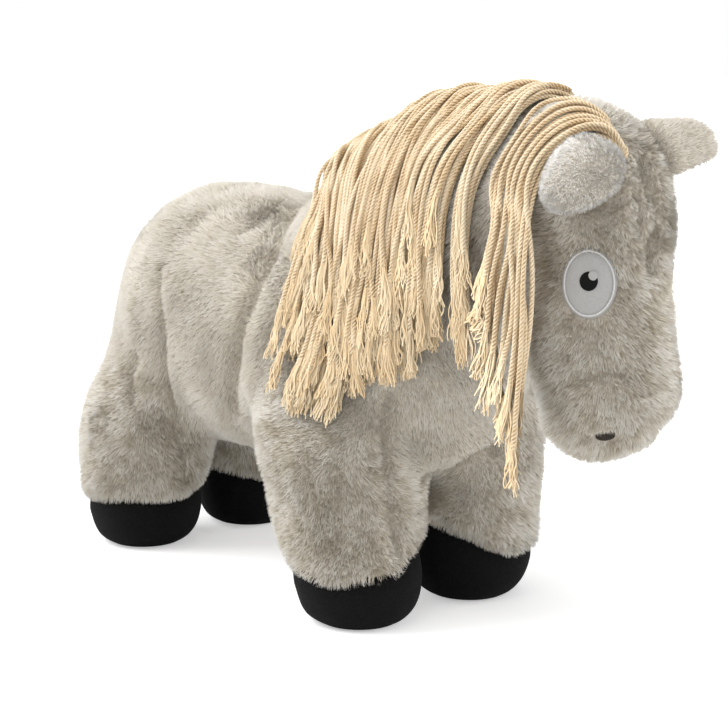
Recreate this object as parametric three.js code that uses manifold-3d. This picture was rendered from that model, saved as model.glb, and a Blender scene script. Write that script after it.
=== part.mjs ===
// A stuffed toy pony that stands on four soft hooves: sewn pile-fabric panels over loose filling,
// with a mane, forelock and tail of twisted cotton cord and embroidered eyes.
// It faces +X, its left is +Y and it stands on z = 0. Sizes are millimetres, angles are degrees.
import * as THREE from "three";
import { mergeVertices } from "three/addons/utils/BufferGeometryUtils.js";
import Module from "manifold-3d";

const wasm = await Module();
wasm.setup();

// Fabric and fits
const plushThickness = 3;
const hoofThickness = 2.4;
const seamGap = 0.3;
const hingeGap = 0.8;
const hingeSlack = 2.5;

// Hooves
const hoofDiameter = 73;
const hoofHeight = 34;
const soleThickness = 2.5;
const betweenHooves = 9;

// Stance: x is counted from midway between the front and hind hooves
const wheelbase = 212;
const track = hoofDiameter + betweenHooves;
const hipBase = 198;
const shoulderTrack = 98;
const haunchTrack = 86;
const hipHeight = 108;
const legDepth = 90;
const legWidth = 78;
const cuffDepth = 78;
const cuffWidth = 74;
const hipSwing = 6;

// Trunk
const trunkLength = 312;
const trunkHeight = 156;
const trunkWidth = 148;
const trunkMiddleHeight = 150;
const rumpOverhang = 46;
const bellyPanelWidth = 52;
const bellyPanelRise = 42;

// Neck, which ends in a ball inside the head
const chestX = trunkLength - rumpOverhang - wheelbase / 2;
const neckRoot = new THREE.Vector3(chestX - 102, 0, 178);
const neckBall = new THREE.Vector3(chestX + 52, 0, 232);
const neckHeight = 140;
const neckWidth = 116;
const neckBallDiameter = 70;

// Head, which hangs from the neck
const headTop = new THREE.Vector3(neckBall.x + 10, 0, neckBall.z + 57);
const headLength = 182;
const headLean = 12;
const headDepth = 90;
const headWidth = 86;
const foreheadPanelWidth = 34;
const nodUp = 6;
const nodDown = 8;

// Ears
const earLength = 53;
const earWidth = 42;
const earThickness = 13;
const earRise = { left: 8, right: -30 };
const earSweep = { left: 6, right: 30 };

// Embroidered eyes and nostrils
const eyeWidth = 27;
const eyeHeight = 35;
const eyeRimWidth = 1.8;
const pupilWidth = 9.5;
const pupilHeight = 10.5;
const glintDiameter = 3;
const patchThickness = 1.2;
const nostrilWidth = 9;
const nostrilHeight = 5;

// Cord hair
const cordDiameter = 3.6;
const cordSides = 5;
const tapeWidth = 10;
const tapeThickness = 1.2;
const cordRadius = cordDiameter / 2;
const maneCords = 17;
const maneLength = 165;
const pollCords = 5;
const pollLength = 188;
const forelockCords = 5;
const forelockEnd = 103;
const tailCords = 7;
const tailLength = 120;
const tailTabLength = 8;
const tailKnotDiameter = 15;

const radians = THREE.MathUtils.degToRad;
const yAxis = new THREE.Vector3(0, 1, 0);
const zAxis = new THREE.Vector3(0, 0, 1);

const finishes = {
  plush: { color: 0xb3aca0, roughness: 0.95, metalness: 0 },
  lining: { color: 0xc4bcae, roughness: 0.95, metalness: 0 },
  filling: { color: 0xf0eee8, roughness: 1, metalness: 0 },
  hoof: { color: 0x181818, roughness: 0.85, metalness: 0 },
  sole: { color: 0x101010, roughness: 0.9, metalness: 0 },
  cord: { color: 0xdcc7a2, roughness: 0.9, metalness: 0 },
  tape: { color: 0xc9b48f, roughness: 0.9, metalness: 0 },
  eyePatch: { color: 0xb8b4af, roughness: 0.6, metalness: 0 },
  eyeRim: { color: 0xe9e7e3, roughness: 0.5, metalness: 0 },
  pupil: { color: 0x0c0a09, roughness: 0.5, metalness: 0 },
  nostril: { color: 0x6f6657, roughness: 0.9, metalness: 0 },
};

// A stuffed form: elliptical rings round a spine that lies in a plane of constant y.
// A depth and a width are given at even steps along the spine, and a rounded end takes a share of it.
class StuffedForm {
  constructor({ spine, depths, widths, roundStart = 0, roundEnd = 0, sides = 18, rings = 10 }) {
    this.spine = new THREE.CatmullRomCurve3(spine);
    this.radii = new THREE.CatmullRomCurve3(
      depths.map((depth, i) => new THREE.Vector3(i, depth / 2, widths[i] / 2)),
    );
    this.roundStart = roundStart;
    this.roundEnd = roundEnd;
    this.sides = sides;
    this.rings = rings;
  }

  // The ring at a share t of the spine: its centre, its two half axes and its frame
  ring(t) {
    const centre = this.spine.getPointAt(t);
    const along = this.spine.getTangentAt(t);
    const across = new THREE.Vector3(-along.z, 0, along.x);
    const size = this.radii.getPoint(t);
    const closing = dome(t, this.roundStart) * dome(1 - t, this.roundEnd);
    return { centre, along, across, depth: size.y * closing, width: size.z * closing };
  }

  // A point of the skin: angle 0 is the top of the trunk, the crest of the neck or the front of the head
  point(t, angle) {
    const { centre, across, depth, width } = this.ring(t);
    return centre
      .addScaledVector(across, depth * Math.cos(angle))
      .addScaledVector(yAxis, width * Math.sin(angle));
  }

  normal(t, angle) {
    const step = 0.01;
    const alongSkin = this.point(t + step, angle).sub(this.point(t - step, angle));
    const roundSkin = this.point(t, angle + step).sub(this.point(t, angle - step));
    return alongSkin.cross(roundSkin).normalize();
  }

  // How far the skin reaches to the side at a given x and z, or 0 where the form isn't there
  reach(x, z) {
    const samples = 80;
    let best = 0;
    for (let i = 1; i < samples; i += 1) {
      const { centre, along, across, depth, width } = this.ring(i / samples);
      const offset = new THREE.Vector3(x - centre.x, 0, z - centre.z);
      const ringSpacing = this.spine.getLength() / samples;
      const share = Math.abs(offset.dot(across)) / depth;
      if (Math.abs(offset.dot(along)) > ringSpacing || share >= 1) continue;
      best = Math.max(best, Math.abs(centre.y) + width * Math.sqrt(1 - share * share));
    }
    return best;
  }

  geometry() {
    const shares = [];
    if (!this.roundStart) shares.push(0);
    for (let i = 1; i < this.rings; i += 1) {
      shares.push(0.5 - 0.5 * Math.cos((Math.PI * i) / this.rings));
    }
    if (!this.roundEnd) shares.push(1);
    const points = [this.spine.getPointAt(0)];
    for (const t of shares) {
      for (let j = 0; j < this.sides; j += 1) points.push(this.point(t, (2 * Math.PI * j) / this.sides));
    }
    points.push(this.spine.getPointAt(1));
    const last = points.length - 1;
    const index = [];
    const corner = (row, j) => 1 + row * this.sides + (j % this.sides);
    for (let j = 0; j < this.sides; j += 1) {
      index.push(0, corner(0, j), corner(0, j + 1));
      for (let row = 0; row + 1 < shares.length; row += 1) {
        index.push(corner(row, j), corner(row + 1, j), corner(row + 1, j + 1));
        index.push(corner(row, j), corner(row + 1, j + 1), corner(row, j + 1));
      }
      index.push(last, corner(shares.length - 1, j + 1), corner(shares.length - 1, j));
    }
    return new THREE.BufferGeometry().setFromPoints(points).setIndex(index);
  }
}

// The share of full size left at a distance from an end that closes as half an ellipse
function dome(t, round) {
  if (t >= round) return 1;
  const rest = 1 - t / round;
  return Math.sqrt(Math.max(0, 1 - rest * rest));
}

// The same skin moved along its normals, outwards for a positive distance
function grown(geometry, distance) {
  const moved = geometry.clone();
  moved.computeVertexNormals();
  const position = moved.getAttribute("position");
  const normal = moved.getAttribute("normal");
  const point = new THREE.Vector3();
  const direction = new THREE.Vector3();
  for (let i = 0; i < position.count; i += 1) {
    point.fromBufferAttribute(position, i);
    direction.fromBufferAttribute(normal, i);
    point.addScaledVector(direction, distance);
    position.setXYZ(i, point.x, point.y, point.z);
  }
  return moved;
}

function solidOf(geometry) {
  const loose = geometry.index ? geometry.toNonIndexed() : geometry;
  const bare = new THREE.BufferGeometry().setAttribute("position", loose.getAttribute("position").clone());
  const merged = mergeVertices(bare, 1e-4);
  return new wasm.Manifold(
    new wasm.Mesh({
      numProp: 3,
      vertProperties: merged.getAttribute("position").array,
      triVerts: new Uint32Array(merged.index.array),
    }),
  );
}

function geometryOf(solid) {
  const mesh = solid.getMesh();
  const position = new Float32Array(mesh.numVert * 3);
  for (let i = 0; i < mesh.numVert; i += 1) {
    position.set(mesh.vertProperties.subarray(i * mesh.numProp, i * mesh.numProp + 3), i * 3);
  }
  const geometry = new THREE.BufferGeometry();
  geometry.setAttribute("position", new THREE.BufferAttribute(position, 3));
  geometry.setIndex(new THREE.BufferAttribute(mesh.triVerts, 1));
  geometry.computeVertexNormals();
  return geometry;
}

// The largest body of a cut solid, without the crumbs that a cut can leave
function mainBody(solid) {
  return solid.decompose().sort((a, b) => b.volume() - a.volume())[0];
}

function joined(solids) {
  return solids.reduce((sum, solid) => sum.add(solid));
}

function block(low, high) {
  const size = new THREE.Vector3().subVectors(high, low);
  const middle = new THREE.Vector3().addVectors(low, high).multiplyScalar(0.5);
  return solidOf(new THREE.BoxGeometry(size.x, size.y, size.z).translate(middle.x, middle.y, middle.z));
}

// Everything on one side of the mid plane, short of the mid seam
function half(side) {
  const far = 1000;
  const near = seamGap / 2;
  const low = new THREE.Vector3(-far, side > 0 ? near : -far, -far);
  const high = new THREE.Vector3(far, side > 0 ? far : -near, far);
  return block(low, high);
}

const pony = new THREE.Group();

function addPiece(name, solid, finish) {
  const mesh = new THREE.Mesh(geometryOf(solid), new THREE.MeshStandardMaterial(finish));
  mesh.name = name;
  pony.add(mesh);
}

// Stuffed forms
const rumpX = -wheelbase / 2 - rumpOverhang;
const alongTrunk = ([share, rise]) =>
  new THREE.Vector3(rumpX + trunkLength * share, 0, trunkMiddleHeight + rise);
const trunkForm = new StuffedForm({
  spine: [[0, 3], [0.28, 1], [0.6, -2], [0.85, 1], [1, 6]].map(alongTrunk),
  depths: [0.78, 1, 1, 0.97, 0.72].map((share) => share * trunkHeight),
  widths: [0.74, 1, 1, 0.93, 0.66].map((share) => share * trunkWidth),
  roundStart: 0.25,
  roundEnd: 0.23,
  sides: 16,
  rings: 10,
});

const neckAlong = new THREE.Vector3().subVectors(neckBall, neckRoot).normalize();

// A neck larger by a margin
function makeNeckForm(margin) {
  const ballRadius = neckBallDiameter / 2 + margin;
  const tip = neckBall.clone().addScaledVector(neckAlong, ballRadius);
  const heights = [1.06, 1.02, 1.01, 0.95].map((share) => share * neckHeight);
  const widths = [1.04, 0.98, 0.86, 0.74].map((share) => share * neckWidth);
  const larger = (size) => size + 2 * margin;
  return new StuffedForm({
    spine: [neckRoot, tip],
    depths: heights.concat(1.14 * neckBallDiameter, neckBallDiameter).map(larger),
    widths: widths.concat(1.12 * neckBallDiameter, neckBallDiameter).map(larger),
    roundStart: 0.2,
    roundEnd: ballRadius / tip.distanceTo(neckRoot),
    sides: 14,
    rings: 8,
  });
}

const neckForm = makeNeckForm(0);

// The head's spine leans forward and curls out at the muzzle
const headDown = new THREE.Vector3(Math.sin(radians(headLean)), 0, -Math.cos(radians(headLean)));
const headOut = new THREE.Vector3(headDown.z, 0, -headDown.x).negate();
const downHead = (share, forward) =>
  headTop.clone().addScaledVector(headDown, headLength * share).addScaledVector(headOut, forward);
const headForm = new StuffedForm({
  spine: [downHead(0, -7), downHead(0.3, -3), downHead(0.55, -6), downHead(0.8, 0), downHead(1, 4)],
  depths: [0.86, 1, 0.98, 0.84, 0.72].map((share) => share * headDepth),
  widths: [0.84, 1, 0.95, 0.86, 0.74].map((share) => share * headWidth),
  roundStart: 0.27,
  roundEnd: 0.2,
  sides: 16,
  rings: 10,
});

// Legs run from the cuff above the hoof to a rounded top that turns in the trunk
const hipRadius = legDepth / 2;
const legSides = 12;
const legRings = 7;
const cuffHeight = hoofHeight + seamGap;

// An upright leg larger by a margin, and deeper still by a slack and below the hip by a swing's room
function makeLegForm({ hip }, margin, bottom, slack = 0, swing = 0) {
  const top = hipHeight + hipRadius + margin + slack;
  const shares = [0, 0.25, 0.5, 0.75, 1];
  const heights = shares.map((share) => bottom + share * (top - bottom));
  const swingRoom = (z) => 2 * Math.max(0, hipHeight - z) * Math.tan(radians(swing));
  const swell = (cuff, full) => (z) => {
    const share = THREE.MathUtils.smoothstep(z, cuffHeight, cuffHeight + 0.5 * (hipHeight - cuffHeight));
    return cuff + (full - cuff) * share + 2 * margin;
  };
  return new StuffedForm({
    spine: [bottom, top].map((z) => new THREE.Vector3(hip.x, hip.y, z)),
    depths: heights.map((z) => swell(cuffDepth, legDepth)(z) + swingRoom(z) + 2 * slack),
    widths: heights.map(swell(cuffWidth, legWidth)),
    roundEnd: (top - hipHeight) / (top - bottom),
    sides: legSides,
    rings: legRings,
  });
}

// The leg as it stands: below the hip it leans to its hoof
function legSolid(leg, ...sizes) {
  const geometry = makeLegForm(leg, ...sizes).geometry();
  const position = geometry.getAttribute("position");
  for (let i = 0; i < position.count; i += 1) {
    const lean = Math.max(0, (hipHeight - position.getZ(i)) / (hipHeight - cuffHeight));
    position.setX(i, position.getX(i) + lean * (leg.hoof.x - leg.hip.x));
    position.setY(i, position.getY(i) + lean * (leg.hoof.y - leg.hip.y));
  }
  return solidOf(geometry);
}

const legs = [];
for (const [end, forward, hipTrack] of [["front", 1, shoulderTrack], ["hind", -1, haunchTrack]]) {
  for (const [side, sign] of [["left", 1], ["right", -1]]) {
    legs.push({
      name: `${end}_${side}`,
      hoof: new THREE.Vector3((forward * wheelbase) / 2, (sign * track) / 2, 0),
      hip: new THREE.Vector3((forward * hipBase) / 2, (sign * hipTrack) / 2, hipHeight),
    });
  }
}

// A ring of points turned about a hoof's upright axis
function turnedAbout(hoof, profile) {
  const lathe = new THREE.LatheGeometry(profile.map(([r, z]) => new THREE.Vector2(r, z)), legSides);
  return solidOf(lathe.rotateX(Math.PI / 2).translate(hoof.x, hoof.y, 0));
}

// Each leg: a pile-fabric tube, a shaped hoof, a flat sole and one filling through both
function makeLeg(leg) {
  const { name, hoof } = leg;
  const skin = legSolid(leg, 0, cuffHeight);
  const bore = legSolid(leg, -plushThickness, cuffHeight - plushThickness);
  addPiece(`leg_cover_${name}`, skin.subtract(bore), finishes.plush);

  const hoofRadius = hoofDiameter / 2;
  const hoofBore = hoofRadius - hoofThickness;
  const soleRadius = hoofBore - 3;
  const hoofBottom = 0.5;
  const hoofProfile = [
    [soleRadius + seamGap, hoofBottom],
    [hoofRadius - 2.5, hoofBottom],
    [hoofRadius, 8],
    [hoofRadius, 0.6 * hoofHeight],
    [hoofRadius - 2, hoofHeight],
    [hoofBore - 2, hoofHeight],
    [hoofBore, 0.6 * hoofHeight],
    [hoofBore, 8],
    [soleRadius + seamGap, soleThickness + hoofBottom],
    [soleRadius + seamGap, hoofBottom],
  ];
  addPiece(`hoof_${name}`, turnedAbout(hoof, hoofProfile), finishes.hoof);
  const soleProfile = [[0, 0], [soleRadius, 0], [soleRadius, soleThickness], [0, soleThickness]];
  addPiece(`sole_${name}`, turnedAbout(hoof, soleProfile), finishes.sole);

  const inset = plushThickness + 2 * seamGap;
  const cuffBore = Math.min(cuffDepth, cuffWidth) / 2 - plushThickness;
  const plugRadius = Math.min(hoofBore - 2, cuffBore) - 2 * seamGap;
  const plug = turnedAbout(hoof, [
    [0, soleThickness + seamGap],
    [soleRadius, soleThickness + hoofBottom + seamGap],
    [hoofBore - seamGap, 8 + seamGap],
    [hoofBore - seamGap, 0.6 * hoofHeight - seamGap],
    [plugRadius, hoofHeight - seamGap],
    [plugRadius, cuffHeight + plushThickness],
    [0, cuffHeight + plushThickness],
  ]);
  const core = legSolid(leg, -inset, cuffHeight + seamGap);
  addPiece(`leg_filling_${name}`, core.add(plug), finishes.filling);
}

legs.forEach(makeLeg);

// The trunk is open where each leg turns in it
const legSockets = joined(
  legs.map((leg) => legSolid(leg, hingeGap, cuffHeight, hingeSlack, hipSwing)),
);

function makeTrunk() {
  const skin = trunkForm.geometry();
  const wall = solidOf(skin).subtract(solidOf(grown(skin, -plushThickness))).subtract(legSockets);
  const panelReach = wheelbase / 2 - hipRadius - 2;
  const panelTop = trunkMiddleHeight - trunkHeight / 2 + bellyPanelRise;
  const panelBlock = (margin) =>
    block(
      new THREE.Vector3(-panelReach - margin, -bellyPanelWidth / 2 - margin, 0),
      new THREE.Vector3(panelReach + margin, bellyPanelWidth / 2 + margin, panelTop),
    );
  addPiece("belly_panel", mainBody(wall.intersect(panelBlock(0))), finishes.plush);
  const sides = wall.subtract(panelBlock(seamGap));
  addPiece("body_panel_left", mainBody(sides.intersect(half(1))), finishes.plush);
  addPiece("body_panel_right", mainBody(sides.intersect(half(-1))), finishes.plush);
  const filling = solidOf(grown(skin, -plushThickness - seamGap)).subtract(legSockets);
  addPiece("body_filling", mainBody(filling), finishes.filling);
}

makeTrunk();

// The neck is sewn round the shoulders, so the trunk cuts its lower end
function makeNeck() {
  const skin = neckForm.geometry();
  const shoulders = solidOf(grown(trunkForm.geometry(), seamGap)).add(legSockets);
  const wall = solidOf(skin).subtract(solidOf(grown(skin, -plushThickness))).subtract(shoulders);
  addPiece("neck_panel_left", mainBody(wall.intersect(half(1))), finishes.plush);
  addPiece("neck_panel_right", mainBody(wall.intersect(half(-1))), finishes.plush);
  const filling = solidOf(grown(skin, -plushThickness - seamGap)).subtract(shoulders);
  addPiece("neck_filling", mainBody(filling), finishes.filling);
}

makeNeck();

// The head nods on the end of the neck, so the neck at both ends of the nod cuts a socket in it
function nodded(geometry, degrees) {
  return geometry
    .translate(-neckBall.x, -neckBall.y, -neckBall.z)
    .rotateY(radians(degrees))
    .translate(neckBall.x, neckBall.y, neckBall.z);
}

const neckSocket = joined(
  [-nodDown, 0, nodUp].map((degrees) => solidOf(nodded(makeNeckForm(hingeGap).geometry(), degrees))),
);

function makeHead() {
  const skin = headForm.geometry();
  const wall = solidOf(skin).subtract(solidOf(grown(skin, -plushThickness))).subtract(neckSocket);
  const far = 1000;
  const chin = downHead(0.8, 0);
  const foreheadBlock = (margin) =>
    block(
      new THREE.Vector3(headTop.x + 4 - margin, -foreheadPanelWidth / 2 - margin, chin.z - 10 - margin),
      new THREE.Vector3(far, foreheadPanelWidth / 2 + margin, far),
    );
  const chinBlock = (margin) =>
    block(
      new THREE.Vector3(-far, -foreheadPanelWidth / 2 - margin, -far),
      new THREE.Vector3(chin.x - 4 + margin, foreheadPanelWidth / 2 + margin, neckBall.z - 40 + margin),
    );
  addPiece("forehead_panel", mainBody(wall.intersect(foreheadBlock(0))), finishes.plush);
  addPiece("chin_panel", mainBody(wall.intersect(chinBlock(0))), finishes.plush);
  const cheeks = wall.subtract(foreheadBlock(seamGap)).subtract(chinBlock(seamGap));
  addPiece("head_panel_left", mainBody(cheeks.intersect(half(1))), finishes.plush);
  addPiece("head_panel_right", mainBody(cheeks.intersect(half(-1))), finishes.plush);
  const filling = solidOf(grown(skin, -plushThickness - seamGap)).subtract(neckSocket);
  addPiece("head_filling", mainBody(filling), finishes.filling);
}

makeHead();

// An oval prism that stands on the head's skin, tall side up
function ovalOn(spot, width, height, outset = new THREE.Vector2()) {
  const reachOut = 14;
  const shape = new THREE.Shape();
  shape.absellipse(outset.x, outset.y, width / 2, height / 2, 0, 2 * Math.PI);
  const prism = new THREE.ExtrudeGeometry(shape, {
    depth: 2 * reachOut,
    bevelEnabled: false,
    curveSegments: 6,
  }).translate(0, 0, -reachOut);
  const across = new THREE.Vector3().crossVectors(zAxis, spot.normal).normalize();
  const up = new THREE.Vector3().crossVectors(spot.normal, across);
  prism.applyMatrix4(new THREE.Matrix4().makeBasis(across, up, spot.normal));
  return solidOf(prism.translate(spot.point.x, spot.point.y, spot.point.z));
}

function spotOnHead(t, angle) {
  return { point: headForm.point(t, angle), normal: headForm.normal(t, angle) };
}

// A layer of the head's skin between two heights above it
function layer(low, high) {
  const skin = headForm.geometry();
  return solidOf(grown(skin, high)).subtract(solidOf(grown(skin, low)));
}

// Each eye: an embroidered oval with a satin rim, a pupil and a small glint on it
const eyeShare = 0.51;
const eyeAngle = radians(53);
const nostrilShare = 0.93;
const nostrilAngle = radians(68);

function makeFace(side, name) {
  const eye = spotOnHead(eyeShare, side * eyeAngle);
  const patchTop = seamGap + patchThickness;
  const rimWidth = eyeWidth - 2 * eyeRimWidth;
  const rimHeight = eyeHeight - 2 * eyeRimWidth;
  const patchOval = ovalOn(eye, rimWidth - 2 * seamGap, rimHeight - 2 * seamGap);
  addPiece(`eye_patch_${name}`, layer(seamGap, patchTop).intersect(patchOval), finishes.eyePatch);
  const rimOval = ovalOn(eye, eyeWidth, eyeHeight).subtract(ovalOn(eye, rimWidth, rimHeight));
  addPiece(`eye_rim_${name}`, layer(seamGap, patchTop + 0.5).intersect(rimOval), finishes.eyeRim);
  const pupilPlace = new THREE.Vector2(side, 0.5);
  const pupilOval = ovalOn(eye, pupilWidth, pupilHeight, pupilPlace);
  const pupilTop = patchTop + seamGap + 0.8;
  addPiece(`eye_pupil_${name}`, layer(patchTop + seamGap, pupilTop).intersect(pupilOval), finishes.pupil);
  const glintPlace = pupilPlace.clone().add(new THREE.Vector2(side * 1.5, 2));
  const glintOval = ovalOn(eye, glintDiameter, glintDiameter, glintPlace);
  const glint = layer(pupilTop + seamGap, pupilTop + seamGap + 0.6).intersect(glintOval);
  addPiece(`eye_glint_${name}`, glint, finishes.eyeRim);
  const nostrilOval = ovalOn(spotOnHead(nostrilShare, side * nostrilAngle), nostrilWidth, nostrilHeight);
  const nostril = layer(seamGap, seamGap + 0.9).intersect(nostrilOval);
  addPiece(`nostril_stitch_${name}`, nostril, finishes.nostril);
}

makeFace(1, "left");
makeFace(-1, "right");

// Ears: a leaf of plush with a lining below it, on a rounded root that turns beside the head
const earShare = 0.215;
const earAngle = radians(37);

function earRoot(side) {
  const { point, normal } = spotOnHead(earShare, side * earAngle);
  return point.addScaledVector(normal, earThickness / 2 + seamGap);
}

function makeEar(side, name) {
  const root = earRoot(side);
  const spine = [0, 0.35, 0.7, 1].map((share) => new THREE.Vector3(share * earLength, 0, 0));
  const leaf = new StuffedForm({
    spine,
    depths: [earThickness, 0.9 * earThickness, 0.8 * earThickness, 0.7 * earThickness],
    widths: [earThickness, 0.92 * earWidth, earWidth, 0.7 * earWidth],
    roundStart: 0.5 * (earThickness / earLength),
    roundEnd: 0.38,
    sides: 12,
    rings: 7,
  }).geometry();
  leaf.translate(-earThickness / 2, 0, 0);
  const toSide = new THREE.Matrix4().makeRotationZ(side * radians(90 - earSweep[name]));
  const lifted = new THREE.Matrix4().makeRotationX(side * radians(earRise[name]));
  const place = new THREE.Matrix4().makeTranslation(root).multiply(lifted).multiply(toSide);
  const far = 1000;
  const split = (low, high) =>
    solidOf(leaf.clone().applyMatrix4(place)).intersect(
      solidOf(
        new THREE.BoxGeometry(far, far, high - low).translate(0, 0, (low + high) / 2).applyMatrix4(place),
      ),
    );
  addPiece(`ear_back_${name}`, split(seamGap / 2 - 1, far), finishes.plush);
  addPiece(`ear_lining_${name}`, split(-far, -seamGap / 2 - 1), finishes.lining);
}

makeEar(1, "left");
makeEar(-1, "right");

// Hair: cords of one cut length that leave a sewn bead and hang over the right side
const hangGap = cordRadius + tapeThickness + 6 * seamGap;
const cordSteps = 8;

function cordSection(diameter, sides) {
  const corners = [];
  for (let i = 0; i < sides; i += 1) {
    const angle = (2 * Math.PI * i) / sides;
    corners.push(new THREE.Vector2(Math.cos(angle), Math.sin(angle)).multiplyScalar(diameter / 2));
  }
  return new THREE.Shape(corners);
}

function cordAlong(points, steps, diameter = cordDiameter) {
  return solidOf(
    new THREE.ExtrudeGeometry(cordSection(diameter, cordSides), {
      steps,
      bevelEnabled: false,
      extrudePath: new THREE.CatmullRomCurve3(points),
    }),
  );
}

const frontLegRight = makeLegForm(legs[1], 0, cuffHeight);
const covered = [trunkForm, neckForm, headForm, frontLegRight];
const sideReach = (x, z) => Math.max(...covered.map((form) => form.reach(x, z)));

// The points of a cord that leaves its root sideways and hangs down the right side, over what it lies on
function hangingCord(root, length, drift, gap = hangGap) {
  const points = [root];
  const stride = length / cordSteps;
  let place = root.clone();
  for (let i = 1; i <= cordSteps; i += 1) {
    const x = root.x + (drift * i) / cordSteps;
    let slope = Math.PI / 2;
    let next;
    do {
      next = new THREE.Vector3(x, place.y - stride * Math.cos(slope), place.z - stride * Math.sin(slope));
      slope -= radians(4);
    } while (-next.y < sideReach(x, next.z) + gap && slope > radians(-20));
    points.push(next);
    place = next;
  }
  return points;
}

// A strip of tape along a form's mid line, cut short of what it would run into
function addTape(name, form, low, high, beside = []) {
  const skin = form.geometry();
  const strip = solidOf(grown(skin, seamGap + tapeThickness)).subtract(solidOf(grown(skin, seamGap)));
  const clear = beside.reduce((rest, solid) => rest.subtract(solid), strip.intersect(block(low, high)));
  addPiece(name, mainBody(clear), finishes.tape);
}

// Cords fused to the sewn bead that they leave
function addHair(name, roots, cords) {
  const bead = cordAlong(roots, 2 * roots.length);
  addPiece(name, joined([bead, ...cords.map((points) => cordAlong(points, cordSteps))]), finishes.cord);
}

const beadLift = tapeThickness + 2 * seamGap + cordRadius;
const tapeHalf = tapeWidth / 2;
const raggedEnd = (i) => 9 * Math.sin(2.4 * i);

function makeMane() {
  const firstShare = 0.12;
  const lastShare = 0.64;
  const roots = [];
  const cords = [];
  for (let i = 0; i < maneCords; i += 1) {
    const along = i / (maneCords - 1);
    const t = THREE.MathUtils.lerp(firstShare, lastShare, along);
    const root = neckForm.point(t, 0).addScaledVector(neckForm.normal(t, 0), beadLift);
    roots.push(root);
    cords.push(hangingCord(root, maneLength + raggedEnd(i), THREE.MathUtils.lerp(34, 2, along)));
  }
  addHair("mane_cords", roots, cords);
  const low = new THREE.Vector3(roots[0].x - tapeThickness, -tapeHalf, roots[0].z - tapeWidth);
  const high = new THREE.Vector3(roots[maneCords - 1].x + tapeThickness, tapeHalf, headTop.z + tapeWidth);
  addTape("mane_tape", neckForm, low, high);
}

makeMane();

// The poll's cords hang behind the ear, and the forelock crosses the crown to hang in front of them
function onCrown(t, degrees, lift) {
  const { point, normal } = spotOnHead(t, radians(degrees));
  return point.addScaledVector(normal, lift);
}

function makeForelock() {
  const pitch = cordDiameter + 2 * seamGap;
  const pollRoots = [];
  const poll = [];
  const crown = headForm.point(0, 0).addScaledVector(headDown, -beadLift);
  const pollLine = new THREE.CatmullRomCurve3([
    onCrown(0.024, 180, beadLift),
    onCrown(0.012, 180, beadLift),
    crown,
  ]);
  for (let i = 0; i < pollCords; i += 1) {
    const along = i / (pollCords - 1);
    const root = pollLine.getPointAt(along);
    pollRoots.push(root);
    const drift = THREE.MathUtils.lerp(-3, -7, along);
    poll.push(hangingCord(root, pollLength + raggedEnd(i), drift, hangGap + 4));
  }
  addHair("poll_cords", pollRoots, poll);

  const roots = [];
  const forelock = [];
  const side = -headWidth / 2 - hangGap;
  const lift = beadLift + 2;
  for (let i = 0; i < forelockCords; i += 1) {
    const root = onCrown(THREE.MathUtils.lerp(0.13, 0.045, i / (forelockCords - 1)), 0, beadLift);
    const back = -i * pitch;
    roots.push(root);
    forelock.push([
      root,
      onCrown(0.075 - 0.006 * i, -28 - 5 * i, lift),
      onCrown(0.075, -56 - 5 * i, lift),
      onCrown(0.15, -77 - 4 * i, lift),
      new THREE.Vector3(neckBall.x + 18 + back, side - 5, neckBall.z - 34),
      new THREE.Vector3(neckBall.x + 26 + back, side - 8, forelockEnd + 50),
      new THREE.Vector3(neckBall.x + 28 + back, side - 9, forelockEnd + Math.abs(raggedEnd(i))),
    ]);
  }
  addHair("forelock_cords", roots, forelock);
  const low = new THREE.Vector3(pollRoots[0].x + cordRadius, -tapeHalf, roots[0].z - tapeWidth);
  const high = new THREE.Vector3(roots[0].x + tapeThickness, tapeHalf, headTop.z + tapeWidth);
  addTape("poll_tape", headForm, low, high, [solidOf(makeNeckForm(seamGap).geometry())]);
}

makeForelock();

// The tail: cords gathered in a knot that swings on a sewn tab
function makeTail() {
  const point = trunkForm.point(0.035, 0);
  const normal = trunkForm.normal(0.035, 0);
  const knotRadius = tailKnotDiameter / 2;
  const tabRadius = knotRadius - 2;
  const knot = point.clone().addScaledVector(normal, 2 * seamGap + tailTabLength + knotRadius);
  const tab = new THREE.CylinderGeometry(tabRadius, tabRadius, 2 * tailTabLength, 10);
  tab.applyQuaternion(new THREE.Quaternion().setFromUnitVectors(yAxis, normal));
  tab.translate(point.x, point.y, point.z);
  const rump = solidOf(grown(trunkForm.geometry(), seamGap));
  addPiece("tail_tab", mainBody(solidOf(tab).subtract(rump)), finishes.tape);
  const ball = solidOf(new THREE.SphereGeometry(knotRadius, 12, 8).translate(knot.x, knot.y, knot.z));
  const hangX = rumpX - hangGap - cordDiameter;
  const cords = [];
  for (let i = 0; i < tailCords; i += 1) {
    const angle = (2 * Math.PI * i) / tailCords;
    const spread = new THREE.Vector3(Math.cos(angle), Math.sin(angle), 0);
    spread.multiplyScalar(i ? cordDiameter : 0);
    const length = tailLength + raggedEnd(i);
    const hang = (share) =>
      new THREE.Vector3(hangX, 0, knot.z - share * length).addScaledVector(spread, 1 + 0.3 * share);
    cords.push(cordAlong([knot.clone().add(spread), hang(0.2), hang(0.6), hang(1)], 5));
  }
  addPiece("tail_cords", joined([ball, ...cords]), finishes.cord);
}

makeTail();

// The finished pony stands with its mid plane on y = 0 and the middle of its length over the origin
const box = new THREE.Box3().setFromObject(pony);
pony.position.set(-box.getCenter(new THREE.Vector3()).x, 0, -box.min.z);

export default pony;
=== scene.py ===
import math

import bpy
import numpy as np
from mathutils import Matrix, Vector
from mathutils.bvhtree import BVHTree
from mathutils.kdtree import KDTree


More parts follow.
